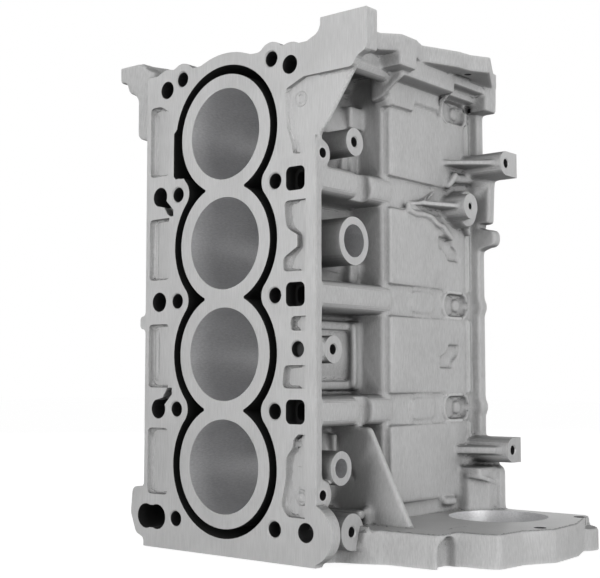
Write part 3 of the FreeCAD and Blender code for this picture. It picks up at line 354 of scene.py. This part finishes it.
# The block as it leaves the mould: solid where the holes will be, and with 8 mm of stock on each
# face that the mill will take down. Its shape says how far each cast edge rounds over.
STOCK = 0.008
rough = solid.copy()
rough.faces.ensure_lookup_table()
rough_kind = rough.faces.layers.int["finish"]
moved = {}
for face in rough.faces:
    if face[rough_kind] == MILLED:
        axis, sign = side_of[face.index]
        for vert in face.verts:
            moved.setdefault(vert, set()).add((axis, sign))
for vert, sides in moved.items():
    for axis, sign in sides:
        vert.co[axis] += sign * STOCK
walls = [face for face in rough.faces if face[rough_kind] in (DRILLED, BORED, JACKET)]
bmesh.ops.delete(rough, geom=walls, context="FACES")
flat = []
for island in islands_of(rough.faces):
    corners = np.array([vert.co[:] for face in island for vert in face.verts])
    if (corners.max(0) - corners.min(0)).min() < 1e-5:
        flat += island
bmesh.ops.delete(rough, geom=flat, context="FACES")
bmesh.ops.holes_fill(rough, edges=[edge for edge in rough.edges if edge.is_boundary], sides=0)
bmesh.ops.triangulate(rough, faces=rough.faces)
bmesh.ops.recalc_face_normals(rough, faces=rough.faces)

# The mouth of each drilled or tapped hole is broken by a countersink of one millimetre, so that a
# screw starts easily. The hole's rim moves out by that much, and the cut below it is milled bright.
BREAK = 0.0010
mouth_layer = solid.faces.layers.int.new("mouth")


def hole_rims():
    """The points where drilled holes meet milled faces, each with its hole's axis and its way out."""
    found = {}
    for edge in solid.edges:
        if {face[kind_layer] for face in edge.link_faces} == {DRILLED, MILLED}:
            for vert in edge.verts:
                for axis, across, middle, reach, start, end in holes:
                    off = Vector([vert.co[across[0]] - middle[0], vert.co[across[1]] - middle[1]])
                    if abs(off.length - reach) > 2e-4 or reach > SCREW_HOLE:
                        continue
                    if start - 1e-4 < vert.co[axis] < end + 1e-4:
                        found[vert] = (axis, across, off.normalized())
    return found


rims = hole_rims()
walls = {}
for vert, (axis, across, off) in rims.items():
    for edge in vert.link_edges:
        other = edge.other_vert(vert)
        depth = abs(other.co[axis] - vert.co[axis])
        in_wall = all(face[kind_layer] == DRILLED for face in edge.link_faces)
        if other not in rims and depth > 1.5 * BREAK and in_wall:
            walls[edge] = BREAK / depth if edge.verts[0] is vert else 1 - BREAK / depth
bmesh.ops.subdivide_edges(solid, edges=list(walls), cuts=1, edge_percents=walls)
bmesh.ops.triangulate(solid, faces=[face for face in solid.faces if len(face.verts) > 3])
rims = hole_rims()
for vert, (axis, across, off) in rims.items():
    for face in vert.link_faces:
        depth = max(abs(corner.co[axis] - vert.co[axis]) for corner in face.verts)
        if face[kind_layer] == DRILLED and depth < 1.2 * BREAK:
            face[mouth_layer] = 1
for vert, (axis, across, off) in rims.items():
    vert.co[across[0]] += off[0] * BREAK
    vert.co[across[1]] += off[1] * BREAK

# How the mould rounds the casting. Sand and steel hold no sharp corner, so an outer edge rounds
# over and an inner corner fills. The block is read as cells that are full or empty, and blurred,
# more in the hollows than on the edges; the skin lies where a cell is half full.
CELL = 0.0015
MARGIN = 0.018
HOLLOW_SPREAD, EDGE_SPREAD = 0.0026, 0.0015
MOST_WALLS = 80
LEAST_CHANGE = 3.3e-7
low = np.array(cad_box[0]) - MARGIN
counts = np.ceil((np.array(cad_box[1]) + MARGIN - low) / CELL).astype(int)
tree = BVHTree.FromBMesh(rough)


def filled_along(axis):
    """How full each cell of the mould is, from straight lines along one axis."""
    across = [other for other in range(3) if other != axis]
    n_first, n_second = counts[across[0]], counts[across[1]]
    ways = Vector((0, 0, 0))
    ways[axis] = 1.0
    lines, places, signs = [], [], []
    start = Vector((0, 0, 0))
    for first in range(n_first):
        start[across[0]] = low[across[0]] + (first + 0.5) * CELL
        for second in range(n_second):
            start[across[1]] = low[across[1]] + (second + 0.5) * CELL
            start[axis] = low[axis]
            line = first * n_second + second
            for _ in range(MOST_WALLS):
                spot, normal, _facet, _distance = tree.ray_cast(start, ways)
                if spot is None:
                    break
                lines.append(line)
                places.append((spot[axis] - low[axis]) / CELL)
                signs.append(-1.0 if normal[axis] > 0 else 1.0)
                start[axis] = spot[axis] + 2e-6
    lines, places, signs = np.array(lines), np.array(places), np.array(signs)
    # A line that grazes an edge counts twice on one side, and its totals don't close.
    steps = np.zeros((n_first * n_second, counts[axis] + 2), np.float32)
    cells = np.floor(places).astype(int)
    parts = (places - cells).astype(np.float32)
    np.add.at(steps, (lines, cells), signs * (1 - parts))
    np.add.at(steps, (lines, cells + 1), signs * parts)
    totals = np.zeros(n_first * n_second)
    np.add.at(totals, lines, signs)
    full = np.cumsum(steps, axis=1)[:, :counts[axis]]
    full = np.clip(full, 0, 1)
    full = full.reshape(n_first, n_second, counts[axis])
    bad = (np.abs(totals) > 0.5).reshape(n_first, n_second)
    for first, second in zip(*np.nonzero(bad)):
        around = [(first + a, second + b) for a, b in ((1, 0), (-1, 0), (0, 1), (0, -1))]
        around = [cell for cell in around
                  if 0 <= cell[0] < n_first and 0 <= cell[1] < n_second and not bad[cell]]
        if around:
            full[first, second] = np.mean([full[cell] for cell in around], axis=0)
    order = across + [axis]
    return np.ascontiguousarray(np.transpose(full, [order.index(a) for a in range(3)]))


def blurred(field, spread):
    """The field with each cell mixed with its neighbours, spread given in cells."""
    reach = int(math.ceil(3 * spread))
    weights = np.exp(-0.5 * (np.arange(-reach, reach + 1) / spread) ** 2)
    weights = (weights / weights.sum()).astype(np.float32)
    for axis in range(3):
        total = np.zeros_like(field)
        size = field.shape[axis]
        for shift, weight in zip(range(-reach, reach + 1), weights):
            into = [slice(None)] * 3
            out_of = [slice(None)] * 3
            into[axis] = slice(max(0, -shift), size - max(0, shift))
            out_of[axis] = slice(max(0, shift), size - max(0, -shift))
            total[tuple(into)] += weight * field[tuple(out_of)]
        field = total
    return field


# Each wall is read best by the lines that cross it squarely, so the three readings are mixed by
# how much the block changes along each axis there.
along = [filled_along(axis) for axis in range(3)]
mean = blurred((along[0] + along[1] + along[2]) / 3, 1.0)
fullness = np.zeros_like(mean)
total = np.zeros_like(mean)
for axis in range(3):
    slope = np.gradient(mean, axis=axis).astype(np.float32)
    slope *= slope
    slope += LEAST_CHANGE
    total += slope
    slope *= along[axis]
    fullness += slope
    along[axis] = None
fullness /= total
del slope, total, mean

soft = blurred(fullness, HOLLOW_SPREAD / CELL)
crisp = blurred(fullness, EDGE_SPREAD / CELL)
del fullness


def read_field(fields, spots):
    """The fields' values at some spots, mixed from the eight cells around each."""
    place = (spots - low) / CELL - 0.5
    base = np.clip(np.floor(place).astype(int), 0, counts - 2)
    part = (place - base).astype(np.float32)
    values = [np.zeros(len(spots), np.float32) for _ in fields]
    for dx in (0, 1):
        for dy in (0, 1):
            for dz in (0, 1):
                weight = np.ones(len(spots), np.float32)
                for axis, d in enumerate((dx, dy, dz)):
                    weight *= part[:, axis] if d else 1 - part[:, axis]
                where = (base[:, 0] + dx, base[:, 1] + dy, base[:, 2] + dz)
                for value, field in zip(values, fields):
                    value += weight * field[where]
    return values


def skin(spots, sloped=True):
    """How full the mould is at some spots, and the way into it there."""
    levels = read_field([soft, crisp], spots)
    hollow = np.clip((levels[0] - 0.5) / 0.03 + 0.5, 0, 1)
    level = hollow * levels[0] + (1 - hollow) * levels[1]
    if not sloped:
        return level
    slope = np.zeros((len(spots), 3))
    for axis in range(3):
        for sign in (1, -1):
            beside = spots.copy()
            beside[:, axis] += sign * CELL
            near = read_field([soft, crisp], beside)
            slope[:, axis] += sign * (hollow * near[0] + (1 - hollow) * near[1]) / (2 * CELL)
    return level, slope


# The cast skin. It gets finer facets where it rounds over, finest on the deck and on the side with
# the arms, and then moves on to the mould's rounded shape. Milled faces and holes stay in place.
FINE, PLAIN, STRIP = 0.0026, 0.0055, 0.0055
ROUNDS, FEWEST_SPLITS, ENOUGH_FACETS = 5, 2500, 240000
MOST_FACETS = 185000
for _ in range(ROUNDS):
    solid.verts.index_update()
    solid.edges.ensure_lookup_table()
    chosen = [edge for edge in solid.edges if any(face[kind_layer] == CAST for face in edge.link_faces)
              and not any(face[kind_layer] in (DRILLED, BORED, JACKET) for face in edge.link_faces)]
    ends = np.array([[edge.verts[0].co[:], edge.verts[1].co[:]] for edge in chosen])
    lengths = np.linalg.norm(ends[:, 1] - ends[:, 0], axis=1)
    middles = ends.mean(axis=1)
    shown = (middles[:, 0] > 0.066) | (middles[:, 1] < -0.205)
    limit = np.where(shown, FINE, PLAIN)
    parts = np.linspace(0, 1, 9)
    levels = [skin(ends[:, 0] * (1 - part) + ends[:, 1] * part, sloped=False) for part in parts]
    busy = np.abs(np.stack(levels, axis=1) - 0.5) > 0.06
    split = (lengths > limit * 1.4) & busy.any(axis=1)
    if split.sum() < FEWEST_SPLITS or len(solid.faces) > ENOUGH_FACETS:
        break
    # A long edge is cut where it leaves the rounded strip, a short one at its middle.
    calm = ~busy[:, 2:7].any(axis=1)
    cut = np.full(len(chosen), 0.5)
    strip = np.minimum(STRIP / np.maximum(lengths, 1e-6), 0.5)
    cut = np.where(calm & busy[:, 7:].any(axis=1), 1 - strip, cut)
    cut = np.where(calm & busy[:, :2].any(axis=1), strip, cut)
    picked = [edge for edge, yes in zip(chosen, split) if yes]
    places = {edge: float(part) for edge, part, yes in zip(chosen, cut, split) if yes}
    bmesh.ops.subdivide_edges(solid, edges=picked, cuts=1, edge_percents=places)
    bmesh.ops.triangulate(solid, faces=[face for face in solid.faces if len(face.verts) > 3])
    flat = [edge for edge in solid.edges
            if len(edge.link_faces) == 2 and edge.calc_face_angle(1.0) < 0.01
            and all(face[kind_layer] == CAST for face in edge.link_faces)]
    near = list({face for edge in flat for face in edge.link_faces})
    bmesh.ops.beautify_fill(solid, faces=near, edges=flat, method="AREA")

# A milled face becomes one face again while its rim moves, so none of its triangles turn over.
FLAT_BEND = 0.002
flat = [edge for edge in solid.edges
        if len(edge.link_faces) == 2 and edge.calc_face_angle(1.0) < FLAT_BEND
        and all(face[kind_layer] == MILLED for face in edge.link_faces)]
bmesh.ops.dissolve_limit(solid, angle_limit=FLAT_BEND, verts=[], edges=flat)

# Along a milled face the skin slides in its plane. The rims of holes and the thin strip of deck
# outside the right pockets stay where they are.
STEPS, LONGEST_STEP, LONGEST_WAY = 4, 0.0015, 0.0035
RIM_DEPTH, RIM_INSIDE, RIM_OUTSIDE = -0.2118, 0.081, 0.1015
solid.verts.ensure_lookup_table()
solid.verts.index_update()
spots = np.array([vert.co[:] for vert in solid.verts])
loose = np.zeros(len(spots), bool)
held = np.zeros((len(spots), 3), bool)
pinned = np.zeros(len(spots), bool)
for face in solid.faces:
    kind = face[kind_layer]
    if kind == CAST:
        for vert in face.verts:
            loose[vert.index] = True
    elif kind == MILLED:
        axis = max(range(3), key=lambda a: abs(face.normal[a]))
        for vert in face.verts:
            held[vert.index, axis] = True
    else:
        for vert in face.verts:
            pinned[vert.index] = True
loose &= ~pinned
loose &= ~((spots[:, 1] < RIM_DEPTH) & (spots[:, 0] > RIM_INSIDE) & (spots[:, 0] < RIM_OUTSIDE))
ramp = np.clip((np.abs(skin(spots, sloped=False) - 0.5) - 0.02) / 0.04, 0, 1)
ramp = ramp * ramp * (3 - 2 * ramp)
moved = spots.copy()
for _ in range(STEPS):
    level, slope = skin(moved)
    size = np.maximum((slope ** 2).sum(1), 40.0 ** 2)
    step = -((level - 0.5) / size)[:, None] * slope
    step[held] = 0
    step *= (ramp * loose)[:, None]
    moved += np.clip(step, -LONGEST_STEP, LONGEST_STEP)
    far = moved - spots
    reach = np.linalg.norm(far, axis=1)
    moved = spots + far * np.minimum(1, LONGEST_WAY / np.maximum(reach, 1e-9))[:, None]
moved = np.clip(moved, cad_box[0], cad_box[1])
for vert, spot in zip(solid.verts, moved):
    vert.co = spot
bmesh.ops.triangulate(solid, faces=[face for face in solid.faces if len(face.verts) > 3])
solid.normal_update()
for face in solid.faces:
    face.material_index = face[kind_layer]
    if face[mouth_layer]:
        face.material_index = MILLED
solid.to_mesh(casting.data)
solid.free()
rough.free()

# Flat parts of the skin need few facets, so the mesh is thinned where it loses no shape.
machined = casting.vertex_groups.new(name="machined")
machined.add([int(number) for number in np.nonzero(~loose | held.any(axis=1))[0]], 1.0, "REPLACE")
thin = casting.modifiers.new("thin", "DECIMATE")
thin.ratio = min(1.0, MOST_FACETS / len(casting.data.polygons))
thin.use_collapse_triangulate = True
thin.vertex_group = "machined"
thin.invert_vertex_group = True
thinned = casting.evaluated_get(bpy.context.evaluated_depsgraph_get())
thinned = bpy.data.meshes.new_from_object(thinned)
casting.modifiers.remove(thin)
casting.vertex_groups.clear()

# Facets that lie flat on each other, facing opposite ways, cancel out, so the skin is one closed
# surface with nothing loose.
spots = np.empty(len(thinned.vertices) * 3)
thinned.vertices.foreach_get("co", spots)
facets = np.empty(len(thinned.loops), int)
thinned.loops.foreach_get("vertex_index", facets)
kinds = np.empty(len(thinned.polygons), int)
thinned.polygons.foreach_get("material_index", kinds)
welded, same = np.unique(np.round(spots.reshape(-1, 3), 6), axis=0, return_inverse=True)
facets = same.reshape(-1)[facets].reshape(-1, 3)
apart = (facets != np.roll(facets, 1, axis=1)).all(axis=1)
facets, kinds = facets[apart], kinds[apart]
_, places = np.unique(np.sort(facets, axis=1), axis=0, return_inverse=True)
places = places.reshape(-1)
way = np.where((facets < np.roll(facets, -1, axis=1)).sum(axis=1) == 2, 1, -1)
left_over = np.zeros(places.max() + 1, int)
np.add.at(left_over, places, way)
winning = np.flatnonzero(way == np.sign(left_over)[places])
kept = winning[np.unique(places[winning], return_index=True)[1]]
used, facets = np.unique(facets[kept], return_inverse=True)
shape = bpy.data.meshes.new("casting")
shape.from_pydata(welded[used].tolist(), [], facets.reshape(-1, 3).tolist())
shape.polygons.foreach_set("material_index", kinds[kept])
casting.data = shape

# Its shading follows the rounded skin, and stays crisp where a cutter has been. The floors of the deck's
# pockets and the ledge of the rear flange are flat, with the finish of the milled faces, so they get none of
# the cast skin's painted shade.
spots = np.empty(len(shape.vertices) * 3)
shape.vertices.foreach_get("co", spots)
spots = spots.reshape(-1, 3)
level, slope = skin(spots)
outward = -slope / np.maximum(np.linalg.norm(slope, axis=1), 1e-9)[:, None]
kinds = np.empty(len(shape.polygons), int)
shape.polygons.foreach_get("material_index", kinds)
face_normal = np.empty(len(shape.polygons) * 3)
shape.polygons.foreach_get("normal", face_normal)
face_normal = face_normal.reshape(-1, 3)
corner_vert = np.empty(len(shape.loops), int)
shape.loops.foreach_get("vertex_index", corner_vert)
corner_face = np.repeat(np.arange(len(shape.polygons)), 3)
shape.polygons.foreach_set("use_smooth", [True] * len(shape.polygons))
edge_faces = {}
for polygon in shape.polygons:
    for key in polygon.edge_keys:
        edge_faces.setdefault(key, []).append(polygon.index)
sharp = []
for edge in shape.edges:
    one, two = edge_faces[edge.key][0], edge_faces[edge.key][-1]
    bend = float(face_normal[one] @ face_normal[two])
    sharp.append(kinds[one] != kinds[two] or (kinds[one] != CAST and bend < 0.82))
shape.edges.foreach_set("use_edge_sharp", sharp)
plain = np.empty(len(shape.loops) * 3)
shape.corner_normals.foreach_get("vector", plain)
corner_normals = plain.reshape(-1, 3)
agree = (outward[corner_vert] * face_normal[corner_face]).sum(1)
rounded = (kinds[corner_face] == CAST) & (agree > 0.35) & (np.abs(level - 0.5) < 0.2)[corner_vert]
corner_normals[rounded] = outward[corner_vert][rounded]
middles = np.empty(len(shape.polygons) * 3)
shape.polygons.foreach_get("center", middles)
middles = middles.reshape(-1, 3)
FLOOR, FRONT_FLOOR, LEDGE = -0.2140, -0.2160, 0.0275
floors = np.abs(middles[:, 1] - FLOOR) < 4e-4
front = (middles[:, 0] > 0.06) & (middles[:, 2] > 0.33)
floors |= (np.abs(middles[:, 1] - FRONT_FLOOR) < 4e-4) & front
floors &= (kinds == CAST) & (face_normal[:, 1] < -0.93)
ledge = (np.abs(middles[:, 2] - LEDGE) < 0.0015) & (middles[:, 0] > 0.1)
ledge &= (kinds == CAST) & (face_normal[:, 2] > 0.93)
corner_normals[floors[corner_face]] = (0, -1, 0)
corner_normals[ledge[corner_face]] = (0, 0, 1)
spared_shade = floors | ledge
shape.normals_split_custom_set([tuple(normal) for normal in corner_normals])


# The metal is one aluminium alloy with five looks: the cast skin, cleaned by blasting, with painted
# shade in its hollows, in its creases and on walls that face along the crankshaft, and a painted
# highlight on its standing edges; the milled faces, with the cutter's fine grain; drilled holes,
# painted near black inside as shade; the honed bores; and the walls of the water jacket and the
# cored passages, painted black as the shade of walls too deep for light to come back from.
def grained_metal(name, colour, roughness, grain, bump, metallic, painted_shade=0.0):
    """Aluminium with a fine grain along the crankshaft and faint wide patches, and, when asked for, painted
    shade in hollows, creases and on walls facing along the crankshaft, with painted highlights on standing
    edges.
    """
    metal = bpy.data.materials.new(name)
    metal.use_nodes = True
    nodes, links = metal.node_tree.nodes, metal.node_tree.links
    shader = nodes["Principled BSDF"]
    shader.inputs["Metallic"].default_value = metallic
    place = nodes.new("ShaderNodeTexCoord")
    stretch = nodes.new("ShaderNodeMapping")
    stretch.inputs["Scale"].default_value = grain
    links.new(place.outputs["Object"], stretch.inputs["Vector"])
    fine = nodes.new("ShaderNodeTexNoise")
    fine.inputs["Scale"].default_value = 1.0
    fine.inputs["Detail"].default_value = 4.0
    fine.inputs["Roughness"].default_value = 0.65
    links.new(stretch.outputs["Vector"], fine.inputs["Vector"])
    broad = nodes.new("ShaderNodeTexNoise")
    broad.inputs["Scale"].default_value = 26.0
    broad.inputs["Detail"].default_value = 2.0
    links.new(place.outputs["Object"], broad.inputs["Vector"])
    mixed = nodes.new("ShaderNodeMath")
    mixed.operation = "MULTIPLY_ADD"
    mixed.inputs[1].default_value = 0.35
    links.new(broad.outputs["Fac"], mixed.inputs[0])
    links.new(fine.outputs["Fac"], mixed.inputs[2])
    tint = nodes.new("ShaderNodeValToRGB")
    tint.color_ramp.elements[0].position = 0.42
    tint.color_ramp.elements[1].position = 0.92
    tint.color_ramp.elements[0].color = [c * 0.82 for c in colour] + [1]
    tint.color_ramp.elements[1].color = [min(1, c * 1.12) for c in colour] + [1]
    links.new(mixed.outputs[0], tint.inputs["Fac"])
    if painted_shade:
        # Painted shade: walls that face along the crankshaft, up and down here, are painted darker.
        wall = nodes.new("ShaderNodeNewGeometry")
        facing = nodes.new("ShaderNodeSeparateXYZ")
        links.new(wall.outputs["True Normal"], facing.inputs[0])
        along = nodes.new("ShaderNodeMath")
        along.operation = "ABSOLUTE"
        links.new(facing.outputs["Z"], along.inputs[0])
        side_shade = nodes.new("ShaderNodeMapRange")
        side_shade.inputs["From Min"].default_value = 0.55
        side_shade.inputs["From Max"].default_value = 0.85
        side_shade.inputs["To Min"].default_value = 1.0
        side_shade.inputs["To Max"].default_value = 0.5
        links.new(along.outputs[0], side_shade.inputs["Value"])
        # Painted highlight: edges that stand out are painted brighter.
        edge = nodes.new("ShaderNodeAmbientOcclusion")
        edge.samples = 3
        edge.inside = True
        edge.only_local = True
        edge.inputs["Distance"].default_value = 0.003
        edge_highlight = nodes.new("ShaderNodeMapRange")
        edge_highlight.inputs["From Min"].default_value = 0.35
        edge_highlight.inputs["From Max"].default_value = 0.95
        edge_highlight.inputs["To Min"].default_value = 1.22
        links.new(edge.outputs["AO"], edge_highlight.inputs["Value"])
        # Painted shade: creases are painted with a fine dark line.
        crease = nodes.new("ShaderNodeAmbientOcclusion")
        crease.samples = 3
        crease.only_local = True
        crease.inputs["Distance"].default_value = 0.006
        crease_shade = nodes.new("ShaderNodeMapRange")
        crease_shade.inputs["From Min"].default_value = 0.4
        crease_shade.inputs["From Max"].default_value = 0.95
        crease_shade.inputs["To Min"].default_value = 0.72
        links.new(crease.outputs["AO"], crease_shade.inputs["Value"])
        # Painted shade: hollows are painted darker, by up to the given share.
        hollow = nodes.new("ShaderNodeAmbientOcclusion")
        hollow.samples = 3
        hollow.only_local = True
        hollow.inputs["Distance"].default_value = 0.05
        hollow_shade = nodes.new("ShaderNodeMapRange")
        hollow_shade.inputs["From Min"].default_value = 0.2
        hollow_shade.inputs["From Max"].default_value = 0.72
        hollow_shade.inputs["To Min"].default_value = 1 - painted_shade
        links.new(hollow.outputs["AO"], hollow_shade.inputs["Value"])
        # The painted shades and the painted highlight are multiplied into the skin's colour.
        both = nodes.new("ShaderNodeMath")
        both.operation = "MULTIPLY"
        links.new(hollow_shade.outputs["Result"], both.inputs[0])
        links.new(crease_shade.outputs["Result"], both.inputs[1])
        all_shade = nodes.new("ShaderNodeMath")
        all_shade.operation = "MULTIPLY"
        links.new(both.outputs[0], all_shade.inputs[0])
        links.new(side_shade.outputs["Result"], all_shade.inputs[1])
        shade_and_highlight = nodes.new("ShaderNodeMath")
        shade_and_highlight.operation = "MULTIPLY"
        links.new(all_shade.outputs[0], shade_and_highlight.inputs[0])
        links.new(edge_highlight.outputs["Result"], shade_and_highlight.inputs[1])
        shaded_tint = nodes.new("ShaderNodeVectorMath")
        shaded_tint.operation = "SCALE"
        links.new(tint.outputs["Color"], shaded_tint.inputs[0])
        links.new(shade_and_highlight.outputs[0], shaded_tint.inputs["Scale"])
        links.new(shaded_tint.outputs["Vector"], shader.inputs["Base Color"])
    else:
        links.new(tint.outputs["Color"], shader.inputs["Base Color"])
    rough_range = nodes.new("ShaderNodeMapRange")
    rough_range.inputs["To Min"].default_value = roughness - 0.08
    rough_range.inputs["To Max"].default_value = roughness + 0.10
    links.new(fine.outputs["Fac"], rough_range.inputs["Value"])
    links.new(rough_range.outputs["Result"], shader.inputs["Roughness"])
    raised = nodes.new("ShaderNodeBump")
    raised.inputs["Strength"].default_value = bump
    raised.inputs["Distance"].default_value = 0.0004
    links.new(fine.outputs["Fac"], raised.inputs["Height"])
    links.new(raised.outputs["Normal"], shader.inputs["Normal"])
    return metal


cast_skin = grained_metal("cast_skin", (0.60, 0.60, 0.60), 0.6, (900, 900, 160), 0.25, 0.08, painted_shade=0.65)
milled = grained_metal("milled_face", (0.58, 0.58, 0.58), 0.45, (1500, 1500, 60), 0.12, 0.3)
# Drilled holes are painted near black inside, standing in for the shade deep in them.
drilled = grained_metal("drilled_hole_shade", (0.035, 0.035, 0.036), 0.6, (800, 800, 800), 0.1, 0.2)
honed = grained_metal("honed_bore", (0.76, 0.76, 0.77), 0.40, (900, 260, 900), 0.15, 0.6)
# The water jacket and the cored passages are painted black, standing in for the shade deep in them.
dark = grained_metal("jacket_wall", (0.006, 0.006, 0.006), 0.9, (500, 500, 500), 0.1, 0.0)
shape.materials.clear()
for metal in (cast_skin, milled, drilled, honed, dark):
    shape.materials.append(metal)
shape.polygons.foreach_set("material_index", np.where(spared_shade, MILLED, kinds))
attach(casting, "root")
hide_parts("engine_block")

# The camera stands low at the arm side, a little below the block's middle, as in the photograph.
# Its place, its angles and its lens were fitted to points of the block that the photograph shows.
camera = bpy.data.objects.new("camera", bpy.data.cameras.new("camera"))
bpy.context.scene.collection.objects.link(camera)
azimuth, elevation = math.radians(39.45), math.radians(-4.45)
back = Vector((math.sin(azimuth) * math.cos(elevation), -math.cos(azimuth) * math.cos(elevation),
               math.sin(elevation)))
camera.location = (0.6771, -0.9395, 0.1504)
camera.rotation_euler = back.to_track_quat("Z", "Y").to_euler()
camera.data.lens = 68.75
camera.data.sensor_width = 36
camera.data.sensor_fit = "HORIZONTAL"
bpy.context.scene.camera = camera

# The studio is a white room. Its light is strongest level with the block and weak from above and
# below, so hollows stay dark. The camera, gloss and glass see the room plain white.
world = bpy.data.worlds.new("studio")
bpy.context.scene.world = world
world.use_nodes = True
nodes, links = world.node_tree.nodes, world.node_tree.links
room = nodes["Background"]
ways = nodes.new("ShaderNodeTexCoord")
parts = nodes.new("ShaderNodeSeparateXYZ")
links.new(ways.outputs["Generated"], parts.inputs[0])
height = nodes.new("ShaderNodeMath")
height.operation = "ABSOLUTE"
links.new(parts.outputs["Z"], height.inputs[0])
walls = nodes.new("ShaderNodeMapRange")
walls.inputs["From Min"].default_value = 0.15
walls.inputs["From Max"].default_value = 0.75
walls.inputs["To Min"].default_value = 0.46
walls.inputs["To Max"].default_value = 0.06
links.new(height.outputs[0], walls.inputs["Value"])
path = nodes.new("ShaderNodeLightPath")
seen_ray = nodes.new("ShaderNodeMath")
seen_ray.operation = "MAXIMUM"
links.new(path.outputs["Is Camera Ray"], seen_ray.inputs[0])
links.new(path.outputs["Is Transmission Ray"], seen_ray.inputs[1])
either = nodes.new("ShaderNodeMath")
either.operation = "MAXIMUM"
links.new(seen_ray.outputs[0], either.inputs[0])
links.new(path.outputs["Is Glossy Ray"], either.inputs[1])
strength = nodes.new("ShaderNodeMapRange")
strength.inputs["To Max"].default_value = 1.0
links.new(walls.outputs["Result"], strength.inputs["To Min"])
links.new(either.outputs[0], strength.inputs["Value"])
links.new(strength.outputs["Result"], room.inputs["Strength"])
room.inputs["Color"].default_value = (1, 1, 1, 1)

# The floor is a pale matt sheet just under the block. It keeps the block's shadow, and a glow that
# only the camera sees brings it up to the white of the room.
FLOOR_REACH, FLOOR_LEVEL = 6, -0.001
floor_mesh = bpy.data.meshes.new("floor")
floor_mesh.from_pydata([(x * FLOOR_REACH, y * FLOOR_REACH, FLOOR_LEVEL)
                        for x, y in ((-1, -1), (1, -1), (1, 1), (-1, 1))], [], [(0, 1, 2, 3)])
floor = bpy.data.objects.new("floor", floor_mesh)
bpy.context.scene.collection.objects.link(floor)
pale = bpy.data.materials.new("pale_floor")
pale.use_nodes = True
nodes, links = pale.node_tree.nodes, pale.node_tree.links
nodes["Principled BSDF"].inputs["Base Color"].default_value = (0.9, 0.9, 0.9, 1)
nodes["Principled BSDF"].inputs["Roughness"].default_value = 0.8
glow = nodes.new("ShaderNodeEmission")
glow.inputs["Strength"].default_value = 1.5
mix = nodes.new("ShaderNodeMixShader")
path = nodes.new("ShaderNodeLightPath")
share = nodes.new("ShaderNodeMath")
share.operation = "MULTIPLY"
share.inputs[1].default_value = 0.6
links.new(path.outputs["Is Camera Ray"], share.inputs[0])
links.new(share.outputs[0], mix.inputs["Fac"])
links.new(nodes["Principled BSDF"].outputs["BSDF"], mix.inputs[1])
links.new(glow.outputs["Emission"], mix.inputs[2])
links.new(mix.outputs["Shader"], nodes["Material Output"].inputs["Surface"])
floor.data.materials.append(pale)


# Three square soft lamps light the block plainly: one at its arm side, one before the deck, and a
# weaker one behind it for the hidden sides. All of them point at the block's middle.
BLOCK_MIDDLE = (0, -0.1, 0.22)


def softbox(name, spot, size, power):
    """A broad square lamp that points at the block's middle."""
    lamp = bpy.data.objects.new(name, bpy.data.lights.new(name, "AREA"))
    bpy.context.scene.collection.objects.link(lamp)
    lamp.location = spot
    lamp.rotation_euler = (Vector(spot) - Vector(BLOCK_MIDDLE)).to_track_quat("Z", "Y").to_euler()
    lamp.data.size = size
    lamp.data.energy = power


softbox("right_lamp", (1.9, -0.45, 0.30), 0.8, 15)
softbox("front_lamp", (-0.2, -2.0, 0.30), 0.8, 13)
softbox("back_lamp", (-1.5, 1.2, 0.8), 0.9, 9)

bpy.context.scene.view_settings.view_transform = "Standard"
